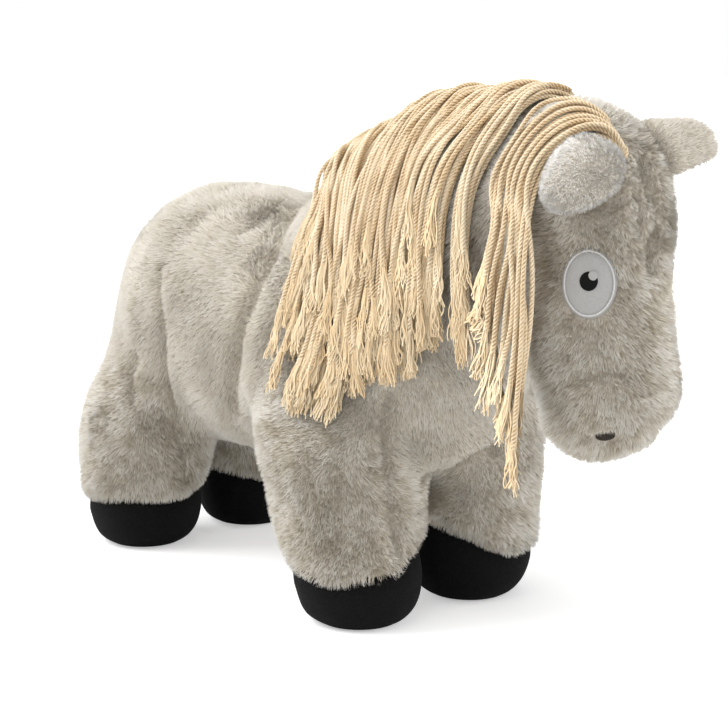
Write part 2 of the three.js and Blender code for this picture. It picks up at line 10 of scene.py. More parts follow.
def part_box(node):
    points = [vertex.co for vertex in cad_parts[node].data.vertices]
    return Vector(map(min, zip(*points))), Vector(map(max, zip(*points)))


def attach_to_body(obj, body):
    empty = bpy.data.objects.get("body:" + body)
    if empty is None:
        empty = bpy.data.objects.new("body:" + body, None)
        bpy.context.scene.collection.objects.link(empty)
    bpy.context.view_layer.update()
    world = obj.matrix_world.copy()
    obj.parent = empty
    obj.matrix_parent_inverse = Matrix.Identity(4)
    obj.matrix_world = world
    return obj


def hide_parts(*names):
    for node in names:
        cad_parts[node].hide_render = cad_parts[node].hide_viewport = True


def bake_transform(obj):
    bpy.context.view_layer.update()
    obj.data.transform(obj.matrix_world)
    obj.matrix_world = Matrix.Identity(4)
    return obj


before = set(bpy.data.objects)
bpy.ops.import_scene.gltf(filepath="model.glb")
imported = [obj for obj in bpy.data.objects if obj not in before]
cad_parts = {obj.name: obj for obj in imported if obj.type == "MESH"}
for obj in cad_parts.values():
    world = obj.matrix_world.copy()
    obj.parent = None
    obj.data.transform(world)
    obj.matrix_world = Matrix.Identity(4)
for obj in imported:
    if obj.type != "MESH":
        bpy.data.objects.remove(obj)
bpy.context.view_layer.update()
scene = bpy.context.scene
scene.view_settings.view_transform = "Standard"

# Camera at the photo's height and angle
view = {"place": (0.77045, -0.65181, 0.31204), "yaw": 0.8713, "pitch": 0.177, "focalPixels": 1800, "pixels": 728}

cameraData = bpy.data.cameras.new("camera")
cameraData.sensor_width = 36
cameraData.lens = 36 * view["focalPixels"] / view["pixels"]
cameraData.clip_end = 50
camera = bpy.data.objects.new("camera", cameraData)
scene.collection.objects.link(camera)
camera.location = view["place"]
level = math.cos(view["pitch"])
sight = Vector((-math.sin(view["yaw"]) * level, math.cos(view["yaw"]) * level, -math.sin(view["pitch"])))
camera.rotation_euler = sight.to_track_quat("-Z", "Y").to_euler()
scene.camera = camera
print("camera placed")

hands = {"left": 1, "right": -1}  # the sign of y on each side


def unit(v):
    return v / np.maximum(np.linalg.norm(v, axis=-1, keepdims=True), 1e-12)


def soften(x):  # 0 to 1 with a soft start and end
    x = np.clip(x, 0, 1)
    return x * x * (3 - 2 * x)


cells = 32
lattice = np.random.default_rng(7).random((4, cells, cells, cells))


def cloud(points, size, channel=0):  # smooth noise from 0 to 1, with lumps of this size
    q = points / size + 100
    cell = np.floor(q).astype(int)
    f = soften(q - cell)
    total = np.zeros(len(points))
    for corner in range(8):
        step = np.array([corner & 1, corner >> 1 & 1, corner >> 2 & 1])
        i = (cell + step) % cells
        total += np.prod(np.where(step, f, 1 - f), axis=1) * lattice[channel][i[:, 0], i[:, 1], i[:, 2]]
    return total


def layered(points, layers):  # noise about nothing, from layers of size, channel and strength
    return sum((cloud(points, size, channel) - 0.5) * strength for size, channel, strength in layers)


def splinePoints(points, each=40):  # a smooth line through points
    p = np.asarray(points, float)
    p = np.vstack([2 * p[0] - p[1], p, 2 * p[-1] - p[-2]])
    f = np.linspace(0, 1, each, endpoint=False)[:, None]
    line = [
        0.5 * (2 * b + (c - a) * f + (2 * a - 5 * b + 4 * c - d) * f**2 + (3 * b - a - 3 * c + d) * f**3)
        for a, b, c, d in zip(p[:-3], p[1:-2], p[2:-1], p[3:])
    ]
    return np.vstack(line + [p[-2:-1]])


def valuesAt(at, run, values):  # a table of rows read between its steps
    return np.stack([np.interp(at, run, values[:, k]) for k in range(values.shape[1])], 1)


def evenly(line, count):  # the same line with points at even steps of its length
    run = np.r_[0, np.cumsum(np.linalg.norm(np.diff(line, axis=0), axis=1))]
    return valuesAt(np.linspace(0, run[-1], count), run, line)


def ease(line, rounds, first=1):  # draws each point towards its neighbours, in place
    for _ in range(rounds):
        line[first:-1] = (line[first - 1 : -2] + 2 * line[first:-1] + line[first + 1 :]) / 4


def circle(count):
    return np.linspace(0, 2 * np.pi, count, endpoint=False)


def around(one, two, angle):  # directions turned about a line, from its two cross axes
    return one[:, None] * np.cos(angle)[..., None] + two[:, None] * np.sin(angle)[..., None]


def gridFaces(rows, sides, closed=False):  # quads between rings of points
    faces = []
    for i in range(rows if closed else rows - 1):
        here, there = i * sides, (i + 1) % rows * sides
        faces += [(here + j, here + (j + 1) % sides, there + (j + 1) % sides, there + j) for j in range(sides)]
    return np.array(faces)


def meshFrom(name, verts, faces, uv=None, normals=None):
    verts, faces = np.asarray(verts, np.float32), np.asarray(faces, np.int32)
    me = bpy.data.meshes.new(name)
    me.vertices.add(len(verts))
    me.vertices.foreach_set("co", verts.ravel())
    me.loops.add(faces.size)
    me.loops.foreach_set("vertex_index", faces.ravel())
    me.polygons.add(len(faces))
    me.polygons.foreach_set("loop_start", np.arange(0, faces.size, faces.shape[1], dtype=np.int32))
    me.update(calc_edges=True)
    me.shade_smooth()
    if uv is not None:  # one place for each corner of each face
        layer = me.uv_layers.new(name="OFBake")
        layer.uv.foreach_set("vector", np.asarray(uv, np.float32).ravel())
    if normals is not None:
        me.normals_split_custom_set_from_vertices(np.asarray(normals, float).tolist())
    ob = bpy.data.objects.new(name, me)
    scene.collection.objects.link(ob)
    return ob


def meshArrays(ob):  # points and triangles of a finished mesh
    me = ob.data
    verts = np.empty(len(me.vertices) * 3, np.float32)
    me.vertices.foreach_get("co", verts)
    me.calc_loop_triangles()
    tris = np.empty(len(me.loop_triangles) * 3, np.int32)
    me.loop_triangles.foreach_get("vertices", tris)
    return verts.reshape(-1, 3).astype(float), tris.reshape(-1, 3)


def moveTo(ob, verts):
    ob.data.vertices.foreach_set("co", verts.astype(np.float32).ravel())
    ob.data.update()


def vertexNormals(verts, tris):
    a, b, c = (verts[tris[:, k]] for k in range(3))
    face = np.cross(b - a, c - a)
    total = np.zeros_like(verts)
    for k in range(3):
        np.add.at(total, tris[:, k], face)
    return unit(total)


def surfaceTree(verts, tris):
    return BVHTree.FromPolygons(verts.tolist(), tris.tolist())


def pointTree(points):
    tree = KDTree(len(points))
    for i, p in enumerate(points):
        tree.insert(p, i)
    tree.balance()
    return tree


def applyModifiers(ob):
    graph = bpy.context.evaluated_depsgraph_get()
    made = bpy.data.meshes.new_from_object(ob.evaluated_get(graph))
    ob.modifiers.clear()
    ob.data = made


def hang(ob, body):  # on one body, or, given two bodies and a line, left where it is with its place baked in
    if isinstance(body, tuple):
        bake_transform(ob)
    else:
        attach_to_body(ob, body)


def attach(ob, mat, slot, body, *nodes):  # its finish, what it moves with and the nodes it stands for
    ob.data.materials.append(mat)
    hang(ob, body)
    if nodes:
        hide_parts(*nodes)


# Materials
def material(name, **sockets):
    mat = bpy.data.materials.new(name)
    mat.use_nodes = True
    shader = mat.node_tree.nodes["Principled BSDF"]
    for socket, value in sockets.items():
        shader.inputs[socket.replace("_", " ")].default_value = value
    return mat, mat.node_tree.nodes, mat.node_tree.links, shader


def colourBy(nodes, links, shader, factor, stops):
    node = nodes.new("ShaderNodeValToRGB")
    while len(node.color_ramp.elements) < len(stops):
        node.color_ramp.elements.new(0.5)
    for element, (place, colour) in zip(node.color_ramp.elements, stops):
        element.position = place
        element.color = (*colour, 1)
    links.new(factor, node.inputs[0])
    links.new(node.outputs[0], shader.inputs["Base Color"])


def calc(nodes, links, kind, a, b):
    node = nodes.new("ShaderNodeMath")
    node.operation = kind
    for socket, value in zip(node.inputs, (a, b)):
        if isinstance(value, (int, float)):
            socket.default_value = value
        else:
            links.new(value, socket)
    return node.outputs[0]


def mapParts(nodes, links):  # u and v of the mesh's own map
    place = nodes.new("ShaderNodeUVMap")
    place.uv_map = "OFBake"
    parts = nodes.new("ShaderNodeSeparateXYZ")
    links.new(place.outputs[0], parts.inputs[0])
    return parts.outputs[0], parts.outputs[1]


def grainOf(nodes, links, scale, detail):
    where = nodes.new("ShaderNodeTexCoord")
    grain = nodes.new("ShaderNodeTexNoise")
    grain.inputs["Scale"].default_value = scale
    grain.inputs["Detail"].default_value = detail
    links.new(where.outputs["Object"], grain.inputs["Vector"])
    return grain.outputs["Fac"]


def relieve(nodes, links, shader, height, strength, distance):
    bump = nodes.new("ShaderNodeBump")
    bump.inputs["Strength"].default_value = strength
    bump.inputs["Distance"].default_value = distance
    links.new(height, bump.inputs["Height"])
    links.new(bump.outputs[0], shader.inputs["Normal"])


furUv = {"low": 0.02, "span": 0.12}  # where the pile's root and tip lie on its map


# Pile: the map's u is the tone of a tuft and its v runs from root to tip
def pileMaterial(name, dark, middle, light):
    mat, nodes, links, shader = material(
        name, Roughness=0.92, Sheen_Weight=0.15, Sheen_Roughness=0.45, Specular_IOR_Level=0.15
    )
    u, v = mapParts(nodes, links)
    tip = calc(nodes, links, "SUBTRACT", v, furUv["low"])
    tip = calc(nodes, links, "MULTIPLY", tip, 0.5 / furUv["span"])
    both = calc(nodes, links, "ADD", calc(nodes, links, "MULTIPLY", u, 0.5), tip)
    colourBy(nodes, links, shader, both, [(0.0, dark), (0.5, middle), (1.0, light)])
    return mat


# Cloth and thread with a short nap
def napMaterial(name, dark, light, size, bump, roughness, sheen, gloss):
    mat, nodes, links, shader = material(
        name, Roughness=roughness, Sheen_Weight=sheen, Specular_IOR_Level=gloss
    )
    grain = grainOf(nodes, links, 1 / size, 6)
    colourBy(nodes, links, shader, grain, [(0.3, dark), (0.7, light)])
    relieve(nodes, links, shader, grain, bump, 0.0006)
    return mat


# Cotton: fine and broad fibre over a tone for each ply, darker in the valleys between plies as painted shade, which
# the map's v holds
def cottonMaterial(name, dark, middle, light, relieved):
    mat, nodes, links, shader = material(
        name, Roughness=0.85, Sheen_Weight=0.2, Sheen_Roughness=0.5, Specular_IOR_Level=0.2
    )
    fine, broad = grainOf(nodes, links, 900, 3), grainOf(nodes, links, 60, 2)
    both = calc(nodes, links, "MULTIPLY", mapParts(nodes, links)[1], 0.45)
    both = calc(nodes, links, "ADD", both, calc(nodes, links, "MULTIPLY", fine, 0.35))
    both = calc(nodes, links, "ADD", both, calc(nodes, links, "MULTIPLY", broad, 0.3))
    colourBy(nodes, links, shader, both, [(0.25, dark), (0.5, middle), (0.8, light)])
    if relieved:
        relieve(nodes, links, shader, fine, 0.4, 0.0004)
    return mat


naps = {  # dark and light colour, grain size, bump, roughness, sheen, gloss
    "backing_grey": ((0.36, 0.32, 0.265), (0.54, 0.49, 0.42), 0.0016, 0.6, 0.95, 0, 0.1),
    "hoof_black": ((0.0015, 0.0015, 0.0016), (0.0085, 0.0085, 0.0088), 0.0008, 0.9, 0.9, 0.015, 0.1),
    "sole_black": ((0.006, 0.006, 0.006), (0.014, 0.014, 0.014), 0.0011, 0.6, 0.9, 0, 0.2),
    "eye_satin": ((0.33, 0.325, 0.315), (0.43, 0.42, 0.41), 0.0005, 0.25, 0.5, 0.2, 0.4),
    "rim_thread": ((0.52, 0.51, 0.50), (0.72, 0.71, 0.70), 0.0004, 0.4, 0.5, 0, 0.4),
    "pupil_thread": ((0.003, 0.003, 0.003), (0.008, 0.0075, 0.007), 0.0004, 0.4, 0.8, 0, 0.12),
    "nostril_thread": ((0.018, 0.014, 0.011), (0.05, 0.041, 0.032), 0.0005, 0.5, 0.8, 0, 0.2),
    "tape_cotton": ((0.44, 0.33, 0.20), (0.62, 0.50, 0.33), 0.0007, 0.5, 0.9, 0, 0.15),
}
pileGrey = pileMaterial("pile_grey", (0.24, 0.187, 0.112), (0.68, 0.62, 0.512), (0.94, 0.92, 0.88))
# the right ear's pile: partly its lighter lining, partly painted light
pileEarLiningAndLight = pileMaterial("pile_ear", (0.54, 0.49, 0.42), (0.88, 0.845, 0.78), (0.98, 0.96, 0.92))
cloths = {name: napMaterial(name, *spec) for name, spec in naps.items()}
# the cord's dark end is mostly reached in the painted shade of the ply valleys
cordCotton = cottonMaterial("cord_cotton", (0.38, 0.22, 0.085), (0.79, 0.61, 0.385), (0.97, 0.87, 0.68), True)
yarnCotton = cottonMaterial("yarn_cotton", (0.58, 0.355, 0.145), (0.86, 0.62, 0.345), (0.97, 0.80, 0.55), False)
print("materials made")

# Stuffed forms: elliptical rings round a spine, as the CAD has them
midX = -0.06546  # the frame's x of the point midway between the hooves


def stuffedForm(spine, depths, widths, roundStart, roundEnd):  # sizes in mm
    return {
        "spine": evenly(splinePoints([(x * 0.001 + midX, 0, z * 0.001) for x, z in spine]), 400),
        "sizes": splinePoints([(d * 0.0005, w * 0.0005) for d, w in zip(depths, widths)]),
        "round": (roundStart, roundEnd),
    }


def dome(t, length):
    return np.sqrt(np.clip(1 - np.clip(1 - t / length, 0, 1) ** 2, 0, 1))


def ringsOf(form, t):
    steps = np.linspace(0, 1, len(form["spine"]))
    centre = valuesAt(t, steps, form["spine"])
    along = valuesAt(t, steps, unit(np.gradient(form["spine"], axis=0)))
    across = np.stack([-along[:, 2], np.zeros_like(t), along[:, 0]], 1)
    closing = dome(t, form["round"][0]) * dome(1 - t, form["round"][1])
    sizes = valuesAt(t, np.linspace(0, 1, len(form["sizes"])), form["sizes"])
    return centre, across, sizes[:, 0] * closing, sizes[:, 1] * closing


def pointsOn(form, t, angle):
    centre, across, depth, width = ringsOf(form, np.atleast_1d(np.asarray(t, float)))
    angle = np.atleast_1d(angle)
    p = centre + across * (depth * np.cos(angle))[:, None]
    p[:, 1] += width * np.sin(angle)
    return p


def normalsOn(form, t, angle):
    t, angle = np.atleast_1d(np.asarray(t, float)), np.atleast_1d(np.asarray(angle, float))
    down = pointsOn(form, t + 0.01, angle) - pointsOn(form, t - 0.01, angle)
    sideways = pointsOn(form, t, angle + 0.01) - pointsOn(form, t, angle - 0.01)
    return unit(np.cross(down, sideways))


def loft(rings):  # one closed skin through rings of points
    count, sides = len(rings), len(rings[0])
    verts = np.vstack([rings[0].mean(0)[None], *rings, rings[-1].mean(0)[None]])
    faces = []

    def corner(r, j):
        return 1 + r * sides + j % sides

    for j in range(sides):
        faces.append((0, corner(0, j + 1), corner(0, j)))
        for r in range(count - 1):
            faces.append((corner(r, j), corner(r, j + 1), corner(r + 1, j + 1)))
            faces.append((corner(r, j), corner(r + 1, j + 1), corner(r + 1, j)))
        faces.append((len(verts) - 1, corner(count - 1, j), corner(count - 1, j + 1)))
    return verts, np.array(faces)


def formLoft(form, sides=40, count=44):
    t = 0.5 - 0.5 * np.cos(np.pi * np.linspace(0.02, 0.98, count))
    return loft([pointsOn(form, np.full(sides, x), circle(sides)) for x in t])


headSpec = {"top": (222, 289), "lean": 12, "length": 182}
lean = math.radians(headSpec["lean"])
headDown = np.array([math.sin(lean), -math.cos(lean)])
headOut = np.array([math.cos(lean), math.sin(lean)])


def downHead(share, forward):
    return tuple(np.array(headSpec["top"]) + headDown * headSpec["length"] * share + headOut * forward)


trunkForm = stuffedForm(
    [(-152 + 312 * share, 150 + rise) for share, rise in ((0, 3), (0.28, 1), (0.6, -2), (0.85, 1), (1, 6))],
    [156 * s for s in (0.78, 1, 1, 0.97, 0.72)],
    [148 * s for s in (0.74, 1, 1, 0.93, 0.66)],
    0.25, 0.23,
)
neckForm = stuffedForm(
    [(58, 178), (245.04, 243.58)],
    [140 * s for s in (1.06, 1.02, 1.01, 0.95)] + [79.8, 70],
    [116 * s for s in (1.04, 0.98, 0.86, 0.74)] + [78.4, 70],
    0.2, 0.177,
)
headForm = stuffedForm(
    [downHead(*p) for p in ((0, -7), (0.3, -3), (0.55, -6), (0.8, 0), (1, 4))],
    [90 * s for s in (0.86, 1, 0.98, 0.84, 0.72)],
    [86 * s for s in (0.84, 1, 0.95, 0.86, 0.74)],
    0.27, 0.2,
)

legs = {}
for end, forward, hipTrack, tilt, edge in (
    ("front", 1, 0.049, 0.60, 0.0225), ("hind", -1, 0.043, 0.22, 0.0275),
):
    for side, sign in hands.items():
        legs[f"{end}_{side}"] = {
            "sign": sign,
            "hip": np.array([forward * 0.099 + midX, sign * hipTrack, 0.108]),
            "hoof": np.array([forward * 0.106 + midX, sign * 0.041, 0]),
            "tilt": tilt,  # how the pile's lower edge rises towards the other leg
            "edge": edge,  # and its height
            "gather": 1 if end == "hind" else 0,
        }

cuff = {
    "depth": 0.081, "width": 0.079, "fullDepth": 0.090, "fullWidth": 0.080,
    "top": 0.0343, "swell": 0.0369, "dome": 0.045, "narrow": 0.12, "shift": 0.004,
}


def edgeRise(leg, y):
    inward = (leg["hoof"][1] - y) * leg["sign"]
    return leg["tilt"] * (inward + np.sqrt(inward**2 + 0.012**2)) / 2


def legLoft(leg, sides=32, count=30):
    hipX, hipY, hipZ = leg["hip"]
    rings = []
    for share in np.linspace(0, 1, count):
        z = leg["edge"] + share * (hipZ + cuff["dome"] - leg["edge"]) * 0.999
        swell = soften((z - cuff["top"]) / cuff["swell"])
        closing = math.sqrt(max(0, 1 - max(0, (z - hipZ) / cuff["dome"]) ** 2))
        depth = (cuff["depth"] + (cuff["fullDepth"] - cuff["depth"]) * swell) / 2 * closing
        width = (cuff["width"] + (cuff["fullWidth"] - cuff["width"]) * swell) / 2 * closing
        shift = max(0, (hipZ - z) / (hipZ - cuff["top"])) * (leg["hoof"] - leg["hip"])
        gather = soften((z - 0.07) / 0.05) * leg["gather"]  # the thigh narrows into the rump
        depth, width = depth * (1 - cuff["narrow"] * gather), width * (1 - cuff["narrow"] * gather)
        shift = shift + gather * np.array([cuff["shift"], -cuff["shift"] * leg["sign"], 0])
        angle = circle(sides)
        ring = np.stack([depth * np.cos(angle), width * np.sin(angle), np.zeros(sides)], 1)
        ring[:, 2] += edgeRise(leg, leg["hoof"][1] + ring[:, 1]) * (1 - soften((z - leg["edge"]) / 0.04))
        rings.append(ring + [hipX + shift[0], hipY + shift[1], z])
    return loft(rings)


# Plush skin: one stuffed bag sewn from the forms, blown up a little, then cut where limbs turn
skinSpec = {
    "voxel": 0.0045, "inset": 0.0055, "finalInset": 0.0022,
    "pressure": 4, "frames": 16, "cap": 0.004, "tension": 12, "bending": 1.5, "quality": 5,
    "smooth": {"above": 0.09, "over": 0.03, "behind": 0.07, "rounds": 45},
    "crown": {"above": 0.252, "over": 0.035, "ahead": 0.10, "narrow": 0.22},
    "lumps": [(0.035, 0, 0.004), (0.014, 1, 0.0018)],  # size, noise channel and height
    "legBack": 0.0085, "fill": 0.85,
}
fullness = {  # where the filling pushes out between the forms: centre and half sizes in mm
    "throat": ((120, 0, 150), (54, 61, 55)),
    "nape": ((198, 0, 261), (36, 26, 28)),
    "poll": ((172, 0, 257), (34, 24, 28)),
    "jaw": ((246, 0, 134), (26, 33, 28)),
    "bridge": ((252, 0, 176), (26, 34, 36)),
    "brisket": ((118, 0, 108), (34, 42, 30)),
}


def ballLoft(centre, half, sides=32):
    rings = []
    b = circle(sides)
    for a in np.linspace(0.06, 0.94, 20) * np.pi:
        ring = np.stack([np.full(sides, -math.cos(a)), math.sin(a) * np.sin(b), math.sin(a) * np.cos(b)], 1)
        rings.append((ring * half + centre) * 0.001 + [midX, 0, 0])
    return loft(rings)


def sewSkin():
    verts, faces, start = [], [], 0
    lofts = [formLoft(f) for f in (trunkForm, neckForm, headForm)] + [legLoft(leg) for leg in legs.values()]
    lofts += [ballLoft(*spec) for spec in fullness.values()]
    for v, f in lofts:
        verts.append(v)
        faces.append(f + start)
        start += len(v)
    ob = meshFrom("plush_bag", np.vstack(verts), np.vstack(faces))
    remesh = ob.modifiers.new("weld", "REMESH")
    remesh.mode = "VOXEL"
    remesh.voxel_size = skinSpec["voxel"]
    applyModifiers(ob)
    return ob


def edgesOf(ob):
    pairs = np.empty(len(ob.data.edges) * 2, np.int32)
    ob.data.edges.foreach_get("vertices", pairs)
    return pairs.reshape(-1, 2)


def relax(verts, edges, rounds, share):
    count = np.bincount(edges.ravel(), minlength=len(verts))[:, None]
    for _ in range(rounds):
        total = np.zeros_like(verts)
        np.add.at(total, edges[:, 0], verts[edges[:, 1]])
        np.add.at(total, edges[:, 1], verts[edges[:, 0]])
        verts = verts + (total / np.maximum(count, 1) - verts) * share
    return verts


def blowUp(ob):  # cloth with air pressure and no weight, held near where it started
    first = meshArrays(ob)[0]
    cloth = ob.modifiers.new("stuffing", "CLOTH")
    settings = cloth.settings
    settings.use_pressure = True
    settings.uniform_pressure_force = skinSpec["pressure"]
    settings.effector_weights.gravity = 0
    settings.tension_stiffness = skinSpec["tension"]
    settings.bending_stiffness = skinSpec["bending"]
    settings.quality = skinSpec["quality"]
    cloth.point_cache.frame_start = 1
    cloth.point_cache.frame_end = skinSpec["frames"]
    for number in range(1, skinSpec["frames"] + 1):
        scene.frame_set(number)
    applyModifiers(ob)
    scene.frame_set(1)
    move = meshArrays(ob)[0] - first
    length = np.linalg.norm(move, axis=1, keepdims=True)
    return move * np.minimum(1, skinSpec["cap"] / np.maximum(length, 1e-9))


def standBack(verts):  # the right front leg stands a little behind its hoof
    x, y, z = verts.T
    share = soften((z - 0.022) / 0.03) * soften((0.165 - z) / 0.05) * soften((x + 0.04) / 0.04)
    share *= soften((0.11 - x) / 0.02) * soften(-y / 0.03)
    return verts - np.outer(share, [skinSpec["legBack"], 0, 0])


bag = sewSkin()
edges = edgesOf(bag)
verts, tris = meshArrays(bag)
verts = relax(verts, edges, 6, 0.5)
# The shoulders and haunches run into the trunk without a step
smooth, crown = skinSpec["smooth"], skinSpec["crown"]
share = 0.5 * soften((verts[:, 2] - smooth["above"]) / smooth["over"]) * (verts[:, 0] < smooth["behind"])
verts = relax(verts, edges, smooth["rounds"], share[:, None])
# The crown is narrower than the cheeks
share = soften((verts[:, 2] - crown["above"]) / crown["over"]) * (verts[:, 0] > crown["ahead"])
verts[:, 1] *= 1 - crown["narrow"] * share
verts = standBack(verts)
verts = verts - vertexNormals(verts, tris) * skinSpec["inset"]
moveTo(bag, verts)
out, fuller = vertexNormals(verts, tris), skinSpec["inset"] - skinSpec["finalInset"]
move = blowUp(bag)
gain = np.einsum("ij,ij->i", move, out)
mean, spread = round(gain.mean() * 1000, 2), round(gain.std() * 1000, 2)
print("stuffing moved the skin", mean, "mm on average,", spread, "mm spread")
verts = relax(verts + move, edges, 2, 0.4)
fuller -= gain.mean()  # the skin keeps its mean size
moveTo(bag, verts + out * fuller)
finer = bag.modifiers.new("finer", "SUBSURF")
finer.levels = 1
applyModifiers(bag)
skinVerts, skinTris = meshArrays(bag)
bpy.data.objects.remove(bag)
print("skin sewn,", len(skinVerts), "points")

# Seams and folds, each a line pressed into the skin
skinNormals = vertexNormals(skinVerts, skinTris)
skinTree = surfaceTree(skinVerts, skinTris)


def throughPixel(x, y):  # where the sight line through a place in the picture meets the skin
    right = sight.cross(Vector((0, 0, 1))).normalized()
    up = right.cross(sight)
    middle = view["pixels"] / 2
    ray = sight * view["focalPixels"] + right * (x - middle) - up * (y - middle)
    return skinTree.ray_cast(camera.location, ray.normalized())[0]


folds = {  # width, depth (a ridge is below nothing), whether both sides have it, and its line in the picture
    "forehead": (0.0045, 0.0046, True, [(640, 160), (643, 200), (643, 225), (649, 244), (652, 267)]),
    "muzzle": (0.004, 0.0018, False, [(572, 381), (585, 378), (600, 375), (618, 372)]),
    "nostril": (0.0045, 0.0022, True, [(590, 436), (600, 437), (611, 436)]),
    "brisket": (0.0045, 0.004, False, [(420, 479), (445, 468), (470, 456), (495, 446)]),
    "thigh": (0.0036, 0.0021, True, [(163, 268), (161, 300), (164, 345), (171, 390), (180, 440), (184, 480)]),
    "haunch": (0.005, 0.0022, True, [(139, 356), (132, 372), (135, 398)]),
    "shoulder": (0.006, 0.0027, True, [(296, 215), (274, 258), (256, 300), (242, 335), (235, 370), (236, 405)]),
    "shoulder_edge": (0.010, -0.0022, True, [(313, 225), (292, 265), (274, 308), (260, 345), (254, 385)]),
    "loin": (0.004, 0.0013, True, [(243, 233), (262, 222), (285, 204)]),
    "shin": (0.0045, 0.0032, True, [(388, 395), (384, 440), (385, 480), (389, 515), (396, 548)]),
}
fullCrease = 0.003  # a fold this deep shortens its pile and paints the darkest shade on it

creased = np.zeros(len(skinVerts))
for width, depth, mirrored, pixels in folds.values():
    hits = [p for p in (throughPixel(*at) for at in pixels) if p is not None]
    line = evenly(splinePoints([tuple(p) for p in hits], 20), 60)
    for turn in (1, -1) if mirrored else (1,):
        tree = pointTree(line * [1, turn, 1])
        gap = np.array([tree.find(p)[2] for p in skinVerts])
        press = np.exp(-((gap / width) ** 2))
        skinVerts = skinVerts - skinNormals * (press * depth)[:, None]
        creased = np.maximum(creased, press * min(1, depth / fullCrease))

# The neck's top follows the line of the hair's roots, given in mm
crestSpec = {
    "line": [(50, 238), (58, 244), (70, 252), (92, 265), (120, 276), (147, 284), (175, 288.5), (196, 290.5),
             (212, 289.5)],
    "under": 0.0060, "reach": 0.034,
}
crest = evenly(splinePoints([(x * 0.001 + midX, 0, z * 0.001) for x, z in crestSpec["line"]], 20), 200)
tops = [skinTree.ray_cast(Vector((p[0], 0, 0.4)), Vector((0, 0, -1)))[0] for p in crest]
tree = pointTree(tops)
found = [tree.find(p) for p in skinVerts]
nearest, gap = np.array([f[1] for f in found]), np.array([f[2] for f in found])
change = crest[:, 2] - crestSpec["under"] - np.array([p.z for p in tops])
print("crest moved by", np.round(change[::25] * 1000, 1), "mm")
skinVerts = skinVerts + np.outer(change[nearest] * np.exp(-((gap / crestSpec["reach"]) ** 2)), [0, 0, 1])
skinVerts = skinVerts + skinNormals * layered(skinVerts, skinSpec["lumps"])[:, None]
skinNormals = vertexNormals(skinVerts, skinTris)
skinTree = surfaceTree(skinVerts, skinTris)
print("folds pressed")

# Cut the skin into the trunk, the head and four legs, each listed with the bodies and the line where it meets its
# neighbour
middles = skinVerts[skinTris].mean(1)
partOf = np.zeros(len(skinTris), int)
headBend = {"start": (0.108, 0, 0.23), "end": (0.150, 0, 0.23)}
legBend = {"outward": 0.66, "down": -0.751, "length": 0.022, "below": -0.009, "half": 0.052, "top": 0.135}
bends = {"body": "torso", "head": ("torso", "head", headBend["start"], headBend["end"])}
partOf[middles[:, 0] > headBend["start"][0]] = 1
for number, (name, leg) in enumerate(legs.items()):
    out = np.array([0, legBend["outward"] * leg["sign"], legBend["down"]])
    start = leg["hip"] + [0, 0, legBend["below"]]
    near = (np.abs(middles[:, 0] - leg["hip"][0]) < legBend["half"]) & (middles[:, 2] < legBend["top"])
    inside = ((middles - start) @ out > 0) & near & (middles[:, 1] * leg["sign"] > 0)
    partOf[inside & (partOf == 0)] = 2 + number
    bends["leg_" + name] = ("torso", "leg_" + name, tuple(start), tuple(start + out * legBend["length"]))

stands = {
    "body": ["belly_panel", "body_panel_left", "body_panel_right", "body_filling",
             "neck_panel_left", "neck_panel_right", "neck_filling"],
    "head": ["forehead_panel", "chin_panel", "head_panel_left", "head_panel_right", "head_filling"],
}
for name in legs:
    stands["leg_" + name] = [f"leg_cover_{name}", f"leg_filling_{name}"]

skins = {}
for number, part in enumerate(bends):
    chosen = skinTris[partOf == number]
    used, faces = np.unique(chosen, return_inverse=True)
    faces = faces.reshape(-1, 3)
    ob = meshFrom(part + "_skin", skinVerts[used], faces, normals=skinNormals[used])
    attach(ob, cloths["backing_grey"], "plush", bends[part], *stands[part])
    skins[part] = (skinVerts[used], faces, skinNormals[used], creased[used])
print("skin cut into", len(skins), "pieces")

# Eyes and nostrils, laid on the skin
face = {
    "eyeShare": 0.518, "eyeAngle": {"left": 54.0, "right": 51.5}, "eyeLift": {"left": 0.0004, "right": 0.0011},
    "eyeWidth": 0.0262, "eyeHeight": 0.0338, "eyeCrown": 0.0012, "smoothing": 12,
    "stitches": 150, "stitchLift": (0.0003, 0.00018), "rimInset": 0.0014, "rimRadius": 0.00048,
    "pupilWidth": 0.0086, "pupilHeight": 0.0091, "pupilAt": (0, 0.0012), "pupilRise": 0.0008,
    "glint": 0.0042, "glintAt": (0.0020, 0.0028), "glintRise": 0.0014,
    "nostrilShare": 0.953, "nostrilAngle": 82, "nostrilWidth": 0.0094, "nostrilHeight": 0.0046,
    "nostrilLift": 0.0009, "nostrilCrown": 0.0006,
}


def spotOnHead(t, degrees):  # a place on the head, with the way out, across and up
    angle = math.radians(degrees)
    p, n = pointsOn(headForm, t, angle)[0], normalsOn(headForm, t, angle)[0]
    across = unit(np.cross([0, 0, 1], n))
    return p, n, across, np.cross(n, across)


def dropOn(tree, spot, x, y, lift):  # x and y on the spot's own plane, dropped on a surface and lifted off it
    p, n, across, up = spot
    hit = tree.ray_cast(Vector(p + across * x + up * y + n * 0.03), Vector(-n), 0.08)[0]
    return np.array(hit) + n * lift if hit else p + across * x + up * y


def ovalPad(name, spot, width, height, lift, crown, rings=10, sides=48):
    verts = [dropOn(skinTree, spot, 0, 0, lift + crown)]
    for r in range(1, rings + 1):
        share = r / rings
        for j in range(sides):
            a = 2 * math.pi * j / sides
            x, y = width / 2 * share * math.cos(a), height / 2 * share * math.sin(a)
            verts.append(dropOn(skinTree, spot, x, y, lift + crown * (1 - share**2)))
    verts = np.vstack([verts, np.array(verts[-sides:]) - spot[1] * (lift + 0.002)])
    faces = [(0, 1 + j, 1 + (j + 1) % sides) for j in range(sides)]
    for a, b, c, d in gridFaces(rings + 1, sides) + 1:
        faces += [(a, d, c), (a, c, b)]
    return meshFrom(name, verts, faces)


